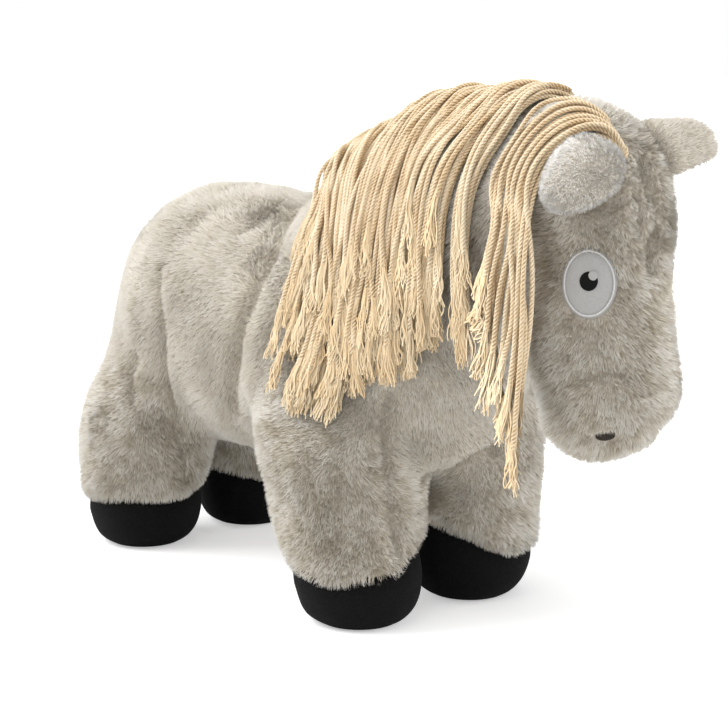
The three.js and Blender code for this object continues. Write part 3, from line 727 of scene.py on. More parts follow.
def smoothPad(ob, spot, rounds):  # the pad keeps its outline and loses the skin's small lumps
    verts = meshArrays(ob)[0]
    height = (verts - spot[0]) @ spot[1]
    level = (relax(verts, edgesOf(ob), rounds, 0.5) - spot[0]) @ spot[1]
    moveTo(ob, verts + spot[1] * (level - height)[:, None])


def roundTube(name, line, radius, sides=8):
    line = np.asarray(line)
    along = unit(np.roll(line, -1, 0) - np.roll(line, 1, 0))
    out = unit(np.cross(along, [0.31, 0.2, 0.93]))
    verts = line[:, None] + radius * around(out, np.cross(along, out), circle(sides))
    return meshFrom(name, verts.reshape(-1, 3), gridFaces(len(line), sides, True))


def disc(name, tree, spot, width, height, centre, rise, sides=40, rows=5):
    verts = []
    for r in range(rows + 2):  # the last row tucks the edge in
        share = min(r, rows) / rows
        lift = rise * (1 - 0.5 * share**4) if r <= rows else -0.0006
        for j in range(sides):
            a = 2 * math.pi * j / sides
            x, y = width / 2 * share * math.cos(a), height / 2 * share * math.sin(a)
            verts.append(dropOn(tree, spot, centre[0] + x, centre[1] + y, lift))
    return meshFrom(name, verts, gridFaces(rows + 2, sides)[:, [0, 3, 2, 1]])


bare = []  # places on the head where no pile grows: centre, out, across, up, half width, half height, overhang
for side, sign in hands.items():
    width, height = face["eyeWidth"], face["eyeHeight"]
    spot = spotOnHead(face["eyeShare"], sign * face["eyeAngle"][side])
    patch = ovalPad(f"eye_patch_{side}_satin", spot, width, height, face["eyeLift"][side], face["eyeCrown"])
    smoothPad(patch, spot, face["smoothing"])
    patchTree = surfaceTree(*meshArrays(patch))
    ring = []
    low, step = face["stitchLift"]
    for i in range(face["stitches"]):
        a = 2 * math.pi * i / face["stitches"]
        x, y = (width / 2 - face["rimInset"]) * math.cos(a), (height / 2 - face["rimInset"]) * math.sin(a)
        ring.append(dropOn(patchTree, spot, x, y, low + step * (i % 2)))
    rim = roundTube(f"eye_rim_{side}_stitch", ring, face["rimRadius"])
    pupilAt, glint = face["pupilAt"], face["glint"]
    pupil = disc(
        f"eye_pupil_{side}_thread", patchTree, spot, face["pupilWidth"], face["pupilHeight"],
        pupilAt, face["pupilRise"],
    )
    glintAt = (pupilAt[0] - sign * face["glintAt"][0], pupilAt[1] + face["glintAt"][1])
    gleam = disc(f"eye_glint_{side}_thread", patchTree, spot, glint, glint * 1.1, glintAt, face["glintRise"])
    nostrilSpot = spotOnHead(face["nostrilShare"], sign * face["nostrilAngle"])
    nostril = ovalPad(
        f"nostril_{side}_thread", nostrilSpot, face["nostrilWidth"], face["nostrilHeight"],
        face["nostrilLift"], face["nostrilCrown"], rings=5, sides=28,
    )
    for ob, mat, slot, node in (
        (patch, "eye_satin", "eye_satin", "eye_patch_"), (rim, "rim_thread", "eye_thread", "eye_rim_"),
        (pupil, "pupil_thread", "pupil_thread", "eye_pupil_"), (gleam, "eye_satin", "eye_thread", "eye_glint_"),
        (nostril, "nostril_thread", "nostril_thread", "nostril_stitch_"),
    ):
        attach(ob, cloths[mat], slot, "head", node + side)
    bare.append((*spot, width / 2, height / 2, 1))
    bare.append((*nostrilSpot, face["nostrilWidth"] / 2, face["nostrilHeight"] / 2, -0.2))
print("face laid on")

# Hooves: soft black cloth with a rounded foot and a sewn sole
hoofSpec = {  # radius and height down each profile
    "profile": [(0.0220, 0.0006), (0.0253, 0.0018), (0.0291, 0.0050), (0.0321, 0.0100), (0.0343, 0.0168),
                (0.0353, 0.0230), (0.0336, 0.0320), (0.0300, 0.0410), (0.0250, 0.0470)],
    "sole": [(0.0002, 0.0012), (0.0165, 0.0006), (0.0212, 0.0), (0.0225, 0.0004), (0.0229, 0.0016)],
    "sides": 64, "wobble": 0.0018, "fill": 0.9,
}


def turned(name, profile, centre, wobble, offset):
    line = evenly(splinePoints(np.array(profile), 12), 40)
    sides = hoofSpec["sides"]
    r, a = np.meshgrid(line[:, 0], circle(sides), indexing="ij")
    z = np.repeat(line[:, 1][:, None], sides, 1)
    verts = np.stack([r * np.cos(a), r * np.sin(a), z], -1).reshape(-1, 3)
    soft = (cloud(verts + offset, 0.018, 2) - 0.5) * wobble * soften(verts[:, 2] / 0.006)
    verts[:, :2] *= 1 + (soft / np.maximum(np.linalg.norm(verts[:, :2], axis=1), 1e-4))[:, None]
    return meshFrom(name, verts + centre, gridFaces(len(line), sides))


for number, (name, leg) in enumerate(legs.items()):
    hoof = turned(f"hoof_{name}_cloth", hoofSpec["profile"], leg["hoof"], hoofSpec["wobble"], number * 0.3)
    verts = meshArrays(hoof)[0]
    rise = soften((verts[:, 2] - 0.014) / 0.02) * edgeRise(leg, verts[:, 1])
    shift = soften((verts[:, 2] - 0.01) / 0.09)[:, None] * (leg["hip"] - leg["hoof"]) * [1, 1, 0]
    moveTo(hoof, standBack(verts + shift + np.outer(rise, [0, 0, 1])))
    attach(hoof, cloths["hoof_black"], "hoof_cloth", "leg_" + name, "hoof_" + name)
    sole = turned(f"sole_{name}_cloth", hoofSpec["sole"], leg["hoof"], 0, 0)
    attach(sole, cloths["sole_black"], "sole_cloth", "leg_" + name, "sole_" + name)
print("hooves turned")

# Ears: a stuffed leaf with a hollow underside
earSpec = {
    "root": (0.19934, 0.0293, 0.25838), "droop": 0.004, "fill": 0.5,
    # tone: the right ear's pile is raised lighter, partly its lining, partly painted light
    "left": {
        "length": 0.051, "width": 0.030, "thickness": 0.016, "bow": 0.011, "rise": 11, "sweep": 0, "back": 0.013,
        "inward": 0.004, "tone": 0.0, "widths": [1.1, 1.02, 0.78, 0.54], "thicknesses": [1.5, 1.2, 0.95, 0.72],
    },
    "right": {
        "length": 0.047, "width": 0.038, "thickness": 0.018, "bow": 0.006, "rise": -28, "sweep": 28, "back": 0.008,
        "inward": 0.0, "tone": 0.16, "widths": [0.70, 1.0, 0.97, 0.72], "thicknesses": [0.75, 1.0, 1.0, 0.85],
    },
}


def makeEar(spec, sign, count=26, sides=36):
    stops, a = np.linspace(0, 1, 4), circle(sides)
    rings = []
    for t in 0.5 - 0.5 * np.cos(np.pi * np.linspace(0.03, 0.97, count)):
        half = np.interp(t, stops, spec["widths"]) * spec["width"] / 2
        thick = np.interp(t, stops, spec["thicknesses"]) * spec["thickness"] / 2
        closing = float(dome(np.array([t]), 0.14)[0] * dome(np.array([1 - t]), 0.42)[0])
        y = half * closing * np.sin(a)
        z = thick * closing**0.6 * np.cos(a) + spec["bow"] * closing * (0.5 - np.sin(a) ** 2)
        z = z - earSpec["droop"] * t**2
        rings.append(np.stack([np.full(sides, t * spec["length"] - spec["thickness"] / 2), y, z], 1))
    verts, faces = loft(rings)
    x, y, z = earSpec["root"]
    place = np.array(
        Matrix.Translation((x - spec["back"], sign * (y - spec["inward"]), z))
        @ Matrix.Rotation(sign * math.radians(spec["rise"]), 4, "X")
        @ Matrix.Rotation(sign * math.radians(90 - spec["sweep"]), 4, "Z")
    )
    return verts @ place[:3, :3].T + place[:3, 3], faces, place[:3, 0]


ears = {}
for side, sign in hands.items():
    verts, faces, along = makeEar(earSpec[side], sign)
    volume = np.einsum("ij,ij->i", verts[faces[:, 0]], np.cross(verts[faces[:, 1]], verts[faces[:, 2]])).sum()
    if volume < 0:
        faces = faces[:, ::-1]
    ob = meshFrom(f"ear_{side}_skin", verts, faces)
    attach(ob, cloths["backing_grey"], "plush", "ear_" + side, "ear_back_" + side, "ear_lining_" + side)
    ears[side] = (verts, faces, vertexNormals(verts, faces), along)
print("ears shaped")

# Pile: short tufts all over the plush, each a slim spike
pile = {
    "perSquareMetre": 1500000, "length": 0.0047, "radius": 0.00030, "buried": 0.0008,
    "stray": 0.45, "liftPatches": 14, "liftSpread": 7, "swirl": 2.6,
    "body": {"clump": 0.26, "perClump": 8, "uneven": 0.75, "lift": 48},
    "other": {"clump": 0.40, "perClump": 9, "uneven": 2.3, "lift": 54},
    "lean": {"head": 0.05, "body": -0.25, "leg": -0.20},  # forward or back as it lies down
    # creasePaintedShade: painted shade, how much darker the pile is painted in a fold
    "tone": 0.54, "toneSpread": 0.18, "creasePaintedShade": 0.30,
    "patches": [(0.05, 1, 0.14), (0.009, 2, 0.40), (0.004, 3, 0.3)],  # size, noise channel and strength
    "ear": {"density": 1.1, "length": 0.62, "uneven": 0.6, "swirl": 1.2},
    "hem": {"density": 1.5, "height": 0.009, "over": 0.012, "shorter": 0.25},  # its edge over each hoof
}


def scatter(verts, faces, normals, extra, density):
    a, b, c = (verts[faces[:, k]] for k in range(3))
    area = np.linalg.norm(np.cross(b - a, c - a), axis=1) / 2
    count = int(area.sum() * density)
    chosen = rng.choice(len(faces), count, p=area / area.sum())
    u, v = rng.random(count), rng.random(count)
    over = u + v > 1
    u[over], v[over] = 1 - u[over], 1 - v[over]
    w = np.stack([1 - u - v, u, v], 1)
    roots, up, extra = (np.einsum("ij,ij...->i...", w, values[faces[chosen]]) for values in (verts, normals, extra))
    return roots, unit(up), extra


def growPile(name, roots, normals, lay, length, tone, spec):
    count, radius = len(roots), pile["radius"]
    lay = lay + rng.normal(0, 1, (count, 3)) * pile["stray"]
    lay = unit(lay - normals * np.einsum("ij,ij->i", lay, normals)[:, None])
    lift = spec["lift"] + pile["liftPatches"] * (cloud(roots, 0.013, 3) - 0.5) * 2
    lift = np.radians(lift + rng.normal(0, pile["liftSpread"], count))
    axis = lay * np.cos(lift)[:, None] + normals * np.sin(lift)[:, None]
    tips = roots + axis * length[:, None]
    heads = np.arange(0, count, spec["perClump"])  # tufts lean together in small clumps
    tree = pointTree(roots[heads])
    nearest = heads[np.array([tree.find(p)[1] for p in roots])]
    tips = tips + (tips[nearest] - tips) * (spec["clump"] * rng.uniform(0.5, 1.2, count))[:, None]
    tone = np.clip(tone + (tone[nearest] - tone) * spec["clump"], 0.02, 0.98)
    axis = unit(tips - roots)
    one = unit(np.cross(axis, normals))
    foot = roots - normals * pile["buried"]
    ring = foot[:, None] + radius * around(one, np.cross(axis, one), 2 * np.pi * np.arange(3) / 3)
    verts = np.concatenate([ring, tips[:, None]], 1).reshape(-1, 3)
    base = 4 * np.arange(count)[:, None, None]
    faces = (base + np.array([(0, 1, 3), (1, 2, 3), (2, 0, 3)])[None]).reshape(-1, 3)
    outward = (ring - foot[:, None]) / radius
    shade = np.concatenate([normals[:, None] * 0.85 + outward * 0.35, (normals + axis * 0.3)[:, None]], 1)
    low, high = furUv["low"], furUv["low"] + furUv["span"]
    uv = np.zeros((count, 3, 3, 2))
    uv += np.array([[-0.003, low], [0.003, low], [0.0, high]])
    uv[..., 0] += tone[:, None, None]
    return meshFrom(name, verts, faces, uv.reshape(-1, 2), unit(shade).reshape(-1, 3))


def toneAt(roots, crease, uneven):
    patchy = layered(roots, pile["patches"]) + rng.normal(0, pile["toneSpread"], len(roots))
    # the pile is painted darker in folds, as painted shade
    return pile["tone"] + patchy * uneven - pile["creasePaintedShade"] * crease


def swirlAt(roots, size):
    return np.stack([cloud(roots, size, k) - 0.5 for k in range(3)], 1)


def layAt(roots, part):
    lay = np.tile([pile["lean"].get(part, pile["lean"]["leg"]), 0, -1.0], (len(roots), 1))
    if part == "head":  # it runs back behind the cheeks
        lay[:, 0] -= 0.8 * soften((0.215 - roots[:, 0]) / 0.05)
    return lay + swirlAt(roots, 0.028) * pile["swirl"]


def aroundBare(roots):  # 0 inside an eye or a nostril, rising to 1 away from it, and which way is out of a nostril
    keep, outward = np.ones(len(roots)), np.zeros((len(roots), 3))
    for p, n, across, up, halfWidth, halfHeight, overhang in bare:
        away = roots - p
        x, y = away @ across / halfWidth, away @ up / halfHeight
        ring = np.sqrt(x * x + y * y)
        inner = 1 - overhang * (0.05 + 0.10 * np.clip(y, 0, 1))  # more pile falls over the upper edge
        near = np.abs(away @ n) < 0.02
        room = np.clip((ring - inner) / (0.25 if overhang > 0 else 1.4), 0, 1)
        keep = np.where(near, np.minimum(keep, room), keep)
        if overhang < 0:
            outward += unit(away) * (3 * np.exp(-((ring / 1.8) ** 2)) * near)[:, None]
    return keep, outward


pileCount = 0
for number, (part, ground) in enumerate(skins.items()):
    rng = np.random.default_rng(100 + number)
    leg = legs.get(part[4:]) if part.startswith("leg_") else None
    roots, up, crease = scatter(*ground, pile["perSquareMetre"])
    hem = pile["hem"]
    if leg:  # more tufts at the edge
        moreRoots, moreUp, moreCrease = scatter(*ground, pile["perSquareMetre"] * hem["density"])
        near = moreRoots[:, 2] < leg["edge"] + edgeRise(leg, moreRoots[:, 1]) + hem["height"]
        roots, up = np.vstack([roots, moreRoots[near]]), np.vstack([up, moreUp[near]])
        crease = np.r_[crease, moreCrease[near]]
    length = pile["length"] * (0.8 + 0.4 * cloud(roots, 0.02, 0)) * rng.uniform(0.8, 1.15, len(roots))
    length *= 1 - 0.45 * np.clip(crease, 0, 1)
    lay = layAt(roots, part)
    groups = [(part + "_pile", np.ones(len(roots), bool))]
    if part == "head":
        room, outward = aroundBare(roots)
        lay = lay + outward
        length *= 0.45 + 0.55 * room
        groups = [("head_pile", room > 0)]
    elif part == "body":
        front, left = roots[:, 0] > -0.03, roots[:, 1] >= 0
        groups = [("rump_pile_left", ~front & left), ("rump_pile_right", ~front & ~left),
                  ("chest_pile_left", front & left), ("chest_pile_right", front & ~left)]
    elif leg:
        edge = leg["edge"] + edgeRise(leg, roots[:, 1])
        low = soften(1 - (roots[:, 2] - edge) / hem["over"])
        lay += low[:, None] * np.array([0, 0, -2.0])
        length *= 1 - hem["shorter"] * low
        groups = [(part + "_pile", (up[:, 2] > -0.8) | (roots[:, 2] > 0.07))]
    spec = pile["body" if part == "body" else "other"]
    tone = toneAt(roots, crease, spec["uneven"])
    for name, keep in groups:
        ob = growPile(name, roots[keep], up[keep], lay[keep], length[keep], tone[keep], spec)
        attach(ob, pileGrey, "plush", bends[part])
        pileCount += int(keep.sum())

for side, (verts, faces, normals, along) in ears.items():
    rng = np.random.default_rng(120)
    spec = pile["ear"]
    roots, up, crease = scatter(verts, faces, normals, np.zeros(len(verts)), pile["perSquareMetre"] * spec["density"])
    length = np.full(len(roots), pile["length"] * spec["length"]) * rng.uniform(0.8, 1.15, len(roots))
    # the right ear's raised tone is partly its lining and partly painted light
    tone = toneAt(roots, crease, spec["uneven"]) + earSpec[side]["tone"]
    lay = along + swirlAt(roots, 0.02) * spec["swirl"]
    ob = growPile(f"ear_{side}_pile", roots, up, lay, length, tone, pile["body"])
    attach(ob, pileEarLiningAndLight if side == "right" else pileGrey, "plush", "ear_" + side)
    pileCount += len(roots)
print("pile grown,", pileCount, "tufts")

# Hair: twisted cotton cords that open into loose yarn at their ends
hair = {
    "radius": 0.00135, "pitch": 0.0060, "step": 0.0008, "open": 0.25, "openOver": 0.02,
    "yarns": 24, "yarnRadius": 0.00034, "yarnSteps": 10, "yarnThick": (0.8, 1.25), "yarnReach": (0.74, 1.0),
    "yarnSpread": (0.8, 2.8), "yarnWaves": (4, 12), "yarnBow": 0.0013, "yarnTone": (0.25, 0.12),
}
# Three round plies, seen from the end: how far out, at which angle, facing where, and how light, the valleys between
# them painted darker as painted shade
plyReach = np.array([0.56, 0.93, 0.93, 0.56] * 3)
plyAngle = np.radians([a + b for a in (0, 120, 240) for b in (-60, -24, 24, 60)])
plyFacing = plyAngle + np.radians([-22, -10, 10, 22] * 3)
plyPaintedShade = np.array([-0.5, 0.08, 0.08, -0.5] * 3)


def clearOf(p, clear):  # whether a point is this far outside the plush
    place, normal, _, gap = skinTree.find_nearest(Vector(p))
    return gap >= clear and (Vector(p) - place).dot(normal) > 0


def hangDown(root, endX, endZ, clear, sway):  # a cord's way down over the plush
    points = [np.array(root, float)]
    stride, phase, slope = 0.005, rng.uniform(0, 6), -0.1
    reach = 1.2 * (root[2] - endZ)
    while points[-1][2] > endZ and len(points) < 80:
        place = points[-1]
        share = min(1, len(points) * stride / reach)
        x = root[0] + (endX - root[0]) * (1 - (1 - share) ** 1.7)
        x += sway * math.sin(3.1 * share) + 0.0012 * (math.sin(9 * share + phase) - math.sin(phase))
        slope = min(math.pi / 2, slope + 0.26)  # a cord bends only so fast
        while slope > -0.5:
            spot = np.array([x, place[1] - stride * math.cos(slope), place[2] - stride * math.sin(slope)])
            if clearOf(spot, clear):
                break
            slope -= 0.06
        points.append(spot)
    line = np.array([root + [0, 0.006, -0.0035]] + points)
    ease(line, 3)
    return line


def framesAlong(line):
    along = unit(np.gradient(line, axis=0))
    out = np.zeros_like(line)
    start = np.cross(along[0], [0.3, 0.5, 0.81])
    out[0] = start / np.linalg.norm(start)
    for i in range(1, len(line)):
        v = out[i - 1] - along[i] * (out[i - 1] @ along[i])
        out[i] = v / np.linalg.norm(v)
    return along, out, np.cross(along, out)


def mapCorners(u0, u1, v0, v1):
    corners = ((u0, v0), (u1, v1), (u1, v1 + 0.002), (u0, v0 + 0.002))
    return np.stack([np.stack(c, -1) for c in corners], 2).reshape(-1, 2)


def cordOf(spec, line):  # a cord's line, how much of it is frayed, and its tone
    return line, rng.uniform(*spec["fray"]), rng.uniform(*spec["tones"])


def makeHair(name, cords, body, *nodes):
    parts = []  # points, facings, faces, map corners and finish of each cord and yarn
    sides, steps, yarns = len(plyReach), hair["yarnSteps"], hair["yarns"]
    share = np.linspace(0, 1, steps)[:, None]
    yarnFaces, yarnAngle = gridFaces(steps, 3), 2 * np.pi * np.arange(3)[None] / 3
    for number, (points, loose, tone) in enumerate(cords):
        line = evenly(splinePoints(points, 12), 400)
        total = np.linalg.norm(np.diff(line, axis=0), axis=1).sum()
        run = np.linspace(0, total, 400)
        count = max(8, int((total - loose) / hair["step"]))
        at = np.linspace(0, total - loose, count)
        core = valuesAt(at, run, line)
        _, out, other = framesAlong(core)
        twist = (at / hair["pitch"] * 2 * np.pi)[:, None]
        opening = 1 + hair["open"] * soften((at - (total - loose - hair["openOver"])) / hair["openOver"])
        opening *= np.where(at < 0.0015, 0.75, 1)
        radius = hair["radius"] * opening[:, None] * plyReach
        ring = core[:, None] + radius[..., None] * around(out, other, plyAngle + twist)
        i, j = np.meshgrid(np.arange(count - 1), [k for k in range(sides) if k % 4 != 3], indexing="ij")
        a = i * sides + j
        faces = np.stack([a, a + 1, a + 1 + sides, a + sides], -1).reshape(-1, 4)
        low, high = (number + 0.1) / len(cords), (number + 0.9) / len(cords)
        u0, u1 = low + (high - low) * j / sides, low + (high - low) * (j + 1) / sides
        # the valleys between plies take painted shade
        v0, v1 = (np.clip(tone + plyPaintedShade[k], 0.01, 0.98) for k in (j, j + 1))
        parts.append((ring, around(out, other, plyFacing + twist), faces, mapCorners(u0, u1, v0, v1), 0))
        # loose yarn: thin strands that spread sideways as they fall
        strand = valuesAt(np.linspace(total - loose - 0.004, total, steps), run, line)
        along = framesAlong(strand)[0]
        wide = unit(np.array([along[-1][2], 0, -along[-1][0]]) + [1e-6, 0, 0])
        deep = unit(np.cross(along[-1], wide))
        normal = skinTree.find_nearest(Vector(strand[-1]))[1]
        away = np.zeros(3) if body == "tail" else unit(np.array(normal)) * 0.8 + [0, 0, 0.25]
        for k in range(yarns):
            turn, far = rng.uniform(0, 2 * np.pi), math.sqrt(rng.uniform(0, 1)) * hair["radius"] * 0.85
            reach = rng.uniform(*hair["yarnReach"])
            spread = 1 + share**1.3 * rng.uniform(*hair["yarnSpread"])
            bow = np.sin(share * rng.uniform(*hair["yarnWaves"]) + rng.uniform(0, 6)) * hair["yarnBow"] * share
            place = strand[0] + (strand - strand[0]) * reach
            place = place + wide * (math.cos(turn) * far * spread * 1.25 + bow)
            place = place + deep * (math.sin(turn) * far * (1 + 0.5 * share) - bow * 0.5)
            thick = hair["yarnRadius"] * rng.uniform(*hair["yarnThick"])
            _, out, other = framesAlong(place)
            ring = place[:, None] + thick * around(out, other, yarnAngle)
            facing = unit((ring - place[:, None]) * 0.45 / thick + away)
            lighter, stray = hair["yarnTone"]
            v = np.full((steps - 1, 3), np.clip(tone + lighter + rng.normal(0, stray), 0.02, 0.97))
            u0 = np.full((steps - 1, 3), low + (high - low) * (k + 0.1) / yarns)
            u1 = u0 + 0.8 * (high - low) / yarns
            parts.append((ring, facing, yarnFaces, mapCorners(u0, u1, v, v), 1))
    starts = np.cumsum([0] + [p[0].size // 3 for p in parts])
    places, facings = (np.vstack([p[k].reshape(-1, 3) for p in parts]) for k in (0, 1))
    faces = np.vstack([start + p[2] for start, p in zip(starts, parts)])
    ob = meshFrom(name, places, faces, np.vstack([p[3] for p in parts]), facings)
    finish = np.concatenate([np.full(len(p[2]), p[4], np.int32) for p in parts])
    attach(ob, cordCotton, "cord", body, *nodes)
    ob.data.materials.append(yarnCotton)
    ob.data.polygons.foreach_set("material_index", finish)
    return ob


maneSpec = {
    "ends": [  # where they hang: share of the crest, x and z in mm
        (0.00, 77, 178), (0.10, 93, 150), (0.20, 105, 122), (0.35, 117, 119), (0.50, 128, 131), (0.65, 143, 142),
        (0.80, 158, 150), (0.90, 174, 157), (1.00, 200, 156),
    ],
    "rows": [  # from the plush out: how much shorter some cords are, and how far locks and cords stray in mm
        {"count": 64, "clear": 0.0032, "shorter": 0.016, "stray": 4.5, "loose": 1.8},
        {"count": 56, "clear": 0.0054, "shorter": 0.028, "stray": 5.0, "loose": 2.2},
        {"count": 42, "clear": 0.0075, "shorter": 0.042, "stray": 6.0, "loose": 2.6},
        {"count": 16, "clear": 0.0092, "shorter": 0.060, "stray": 5.0, "loose": 7.0},
    ],
    "perLock": 4,  # neighbours that hang together
    "neckTo": 0.116,  # roots behind this x are the mane's, the rest the poll's
    "fray": (0.015, 0.032), "tones": (0.35, 0.85),
}
pollBend = ("torso", "head", (0.11, 0, 0.165), (0.11, 0, 0.265))  # its ends lie on the shoulder

rng = np.random.default_rng(7)
endShare, endsX, endsZ = np.array(maneSpec["ends"]).T
perLock, neckTo = maneSpec["perLock"], maneSpec["neckTo"]
cords = []
for row, spec in enumerate(maneSpec["rows"]):
    locks = rng.normal(0, 1, (spec["count"] // perLock + 1, 4))
    for i in range(spec["count"]):
        lock = locks[i // perLock]
        share = np.clip((i + 0.5 * (row % 2) + rng.normal(0, 0.25)) / (spec["count"] - 0.5), 0, 1)
        root = crest[int(share * 199)] + [0, 0.003 + rng.normal(0, 0.0015), 0.0024 * (row - 2)]
        place, normal, _, gap = skinTree.find_nearest(Vector(root))
        if abs(gap - spec["clear"]) > 0.002 or (Vector(root) - place).dot(normal) < 0:
            root = np.array(place + normal * (spec["clear"] + 0.002 * (gap > spec["clear"])))
        together = share + ((i // perLock + 0.5) * perLock / spec["count"] - share) * 0.45
        endX = np.interp(together, endShare, endsX) + spec["stray"] * lock[0]
        endX = (endX + rng.normal(0, spec["loose"])) * 0.001 + midX
        endZ = np.interp(share, endShare, endsZ) * 0.001 + 0.004 * lock[1]
        endZ += spec["shorter"] * rng.uniform(0, 1) ** 1.3 + rng.normal(0, 0.003)
        clear = spec["clear"] + 0.0007 * abs(lock[2]) + rng.uniform(0, 0.0010)
        sway = 0.0055 * lock[3] + rng.normal(0, 0.0016)
        cords.append(cordOf(maneSpec, hangDown(root, endX, endZ, clear, sway)))
roots = np.array([line[0][0] for line, _, _ in cords])
order = np.argsort(roots)
rear, middle, front = np.array_split([k for k in order if roots[k] < neckTo], 3)
for name, chosen, body, nodes in (
    ("mane_rear", rear, "torso", ["mane_cords"]),
    ("mane_middle", middle, "torso", []),
    ("mane_front", front, "torso", []),
    ("poll_hair", [k for k in order if roots[k] >= neckTo], pollBend, ["poll_cords"]),
):
    makeHair(name, [cords[k] for k in chosen], body, *nodes)
print("mane hung,", len(cords), "cords")

# The forelock's first and last cord over the crown, as lines in the picture, and where they hang, in mm
forelockSpec = {
    "count": 18, "lift": 0.0046, "layer": 0.0024, "fray": (0.018, 0.032), "tones": (0.3, 0.8),
    "first": [(626, 161), (621, 146), (611, 137), (594, 132), (566, 146), (549, 162), (538, 185)],
    "last": [(603, 118), (590, 113), (568, 112), (549, 121), (532, 140), (516, 162), (503, 188)],
    "hangs": [(246, -57, 212), (245, -57.5, 175), (244, -58, 139), (239, -58.5, 94)],
    "hangsLast": [(223, -57, 232), (217, -57.5, 210), (211, -58, 188), (206, -58.5, 168)],
}
rng = np.random.default_rng(8)
cords = []
for n in range(forelockSpec["count"]):
    share = n / (forelockSpec["count"] - 1)
    points = []
    for k, (first, last) in enumerate(zip(forelockSpec["first"], forelockSpec["last"])):
        at = np.array(first) * (1 - share) + np.array(last) * share + rng.normal(0, 1.2, 2)
        hit = throughPixel(*at)
        if hit is not None:
            place, normal = skinTree.find_nearest(hit)[:2]
            lift = 0.001 if k == 0 else forelockSpec["lift"] + forelockSpec["layer"] * (n % 3)
            points.append(np.array(place + normal * lift))
    for k, (first, last) in enumerate(zip(forelockSpec["hangs"], forelockSpec["hangsLast"])):
        stray = [rng.normal(0, 2.2), 2.4 * (n % 3), rng.uniform(0, 22) * (k == 3)]
        at = np.array(first) * (1 - share) + np.array(last) * share + stray
        points.append(at * 0.001 + [midX, 0, 0])
    line = evenly(splinePoints(points, 12), 60)
    ease(line, 24, 2)
    cords.append(cordOf(forelockSpec, line))
makeHair("forelock_hair", cords, "head", "forelock_cords")
print("forelock hung")

# Tail: a short knotted bunch behind the rump
tailSpec = {
    "count": 13, "length": 0.118, "knot": (-0.21706, 0, 0.19128), "behind": 0.0075, "spacing": 0.0021,
    "fray": (0.02, 0.034), "tones": (0.35, 0.8),
    "turns": 4, "perTurn": 24, "wrapRadius": 0.0058, "wrapPitch": 0.0026,
}
knot = np.array(tailSpec["knot"])
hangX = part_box("tail_cords")[0][0] + tailSpec["behind"]
rng = np.random.default_rng(9)
cords = []
for i in range(tailSpec["count"]):
    a = 2.4 * i
    off = np.array([math.cos(a), math.sin(a), 0]) * (tailSpec["spacing"] * math.sqrt(i))
    length = tailSpec["length"] + rng.normal(0, 0.005)
    start = knot + off * 0.8
    hangs = [np.array([hangX, 0, knot[2] - length * s]) + off * (1 + 0.35 * s) for s in (0.25, 0.6, 1)]
    cords.append(cordOf(tailSpec, np.array([start + [0.001, 0, 0.002], start, *hangs])))
makeHair("tail_hair", cords, "tail", "tail_cords")
winding = []
for i in range(tailSpec["turns"] * tailSpec["perTurn"]):
    a, r = 2 * math.pi * i / tailSpec["perTurn"], tailSpec["wrapRadius"]
    drop = 0.003 - tailSpec["wrapPitch"] * i / tailSpec["perTurn"]
    winding.append(knot + [r * math.cos(a), r * math.sin(a), drop])
makeHair("tail_wrap", [(np.array(winding), 0.004, 0.5)], "tail")
tabLine = np.array([(-0.19, 0, 0.196), (-0.202, 0, 0.196), knot + [0.003, 0, 0.001]])
tab = makeHair("tail_loop", [(tabLine, 0.002, 0.4)], "torso", "tail_tab")
print("tail tied")

# Bands on the skin beside the crest, at the hair's sewn ends
bandSpec = {"half": 0.0050, "thick": 0.0009, "lift": 0.0016, "beside": 0.0085, "gap": 5}


def makeBand(name, run, body, node):
    rows = []
    for p in run:
        place, normal = skinTree.find_nearest(Vector(p + [0, bandSpec["beside"], 0.001]))[:2]
        along = Vector((1, 0, 0.25)).normalized()
        rows.append((np.array(place), np.array(normal), np.array(normal.cross(along).normalized())))
    line, up, across = (np.array(r) for r in zip(*rows))
    for values in (line, up, across):
        ease(values, 6)
    section = ((-1, -1.2), (-0.92, 1), (0, 1.2), (0.92, 1), (1, -1.2))
    lift, thick = bandSpec["lift"], bandSpec["thick"]
    verts = np.stack([line + across * x * bandSpec["half"] + up * (lift + thick * z) for x, z in section], 1)
    ob = meshFrom(name, verts.reshape(-1, 3), gridFaces(*verts.shape[:2]))
    attach(ob, cloths["tape_cotton"], "tape", body, node)


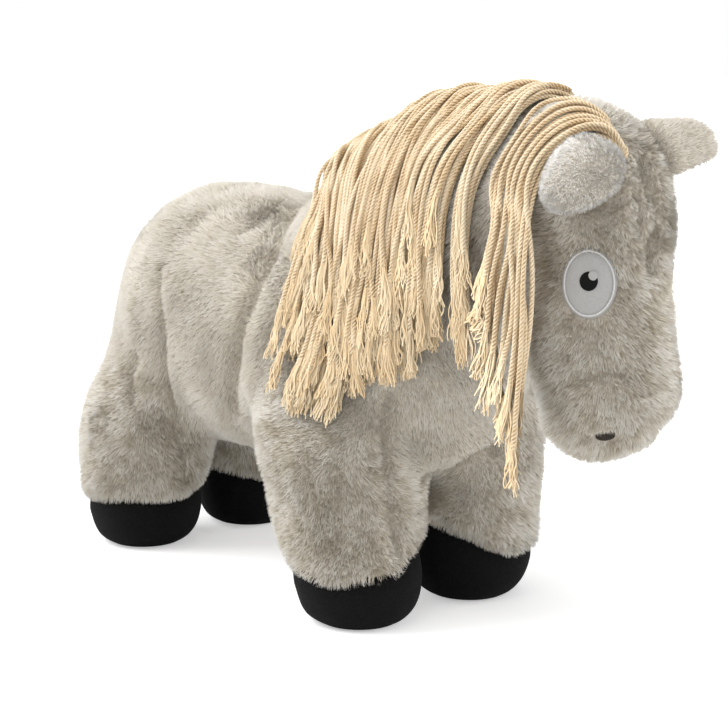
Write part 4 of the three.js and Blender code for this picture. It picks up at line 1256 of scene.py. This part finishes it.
neckEnd = int((crest[:, 0] < neckTo).sum())
makeBand("mane_band", crest[4 : neckEnd - bandSpec["gap"]], "torso", "mane_tape")
makeBand("poll_band", crest[neckEnd + bandSpec["gap"] :], "head", "poll_tape")
print("bands laid")

# Floor and light
light = {
    "world": 0.375, "floorGlow": 0.40, "floorSize": 12, "floorDrop": -0.0002,
    "key": {"strength": 2.5, "from": (-0.64, -0.72, 0.80), "width": 45},
    "top": {"strength": 1.4, "from": (0.10, -0.25, 1.0), "width": 60},
    "rim": {"strength": 1.6, "from": (0.80, 0.62, 0.42), "width": 60},
}
white = (1, 1, 1, 1)

floorMat, nodes, links, shader = material(
    "floor_white", Roughness=0.9, Specular_IOR_Level=0.0, Base_Color=(0.9, 0.9, 0.9, 1), Emission_Color=white
)
ray = nodes.new("ShaderNodeLightPath")
glow = calc(nodes, links, "MULTIPLY", ray.outputs["Is Camera Ray"], light["floorGlow"])
links.new(glow, shader.inputs["Emission Strength"])
far = light["floorSize"]
floor = meshFrom("floor", [(-far, -far, 0), (far, -far, 0), (far, far, 0), (-far, far, 0)], [(0, 1, 2, 3)])
floor.location.z = light["floorDrop"]
floor.data.materials.append(floorMat)

world = bpy.data.worlds.new("studio")
scene.world = world
world.use_nodes = True
nodes, links = world.node_tree.nodes, world.node_tree.links
nodes.clear()
ray = nodes.new("ShaderNodeLightPath")
mixed = nodes.new("ShaderNodeMixShader")
seen = calc(nodes, links, "MAXIMUM", ray.outputs["Is Camera Ray"], ray.outputs["Is Glossy Ray"])
links.new(seen, mixed.inputs[0])
for number, strength in ((1, light["world"]), (2, 1)):  # soft light, and plain white where it is seen
    sky = nodes.new("ShaderNodeBackground")
    sky.inputs[0].default_value = white
    sky.inputs[1].default_value = strength
    links.new(sky.outputs[0], mixed.inputs[number])
links.new(mixed.outputs[0], nodes.new("ShaderNodeOutputWorld").inputs[0])

for name in ("key", "top", "rim"):
    lamp = bpy.data.lights.new(name, "SUN")
    lamp.energy = light[name]["strength"]
    lamp.angle = math.radians(light[name]["width"])
    ob = bpy.data.objects.new(name, lamp)
    scene.collection.objects.link(ob)
    ob.rotation_euler = Vector(light[name]["from"]).to_track_quat("Z", "Y").to_euler()
print("lit")
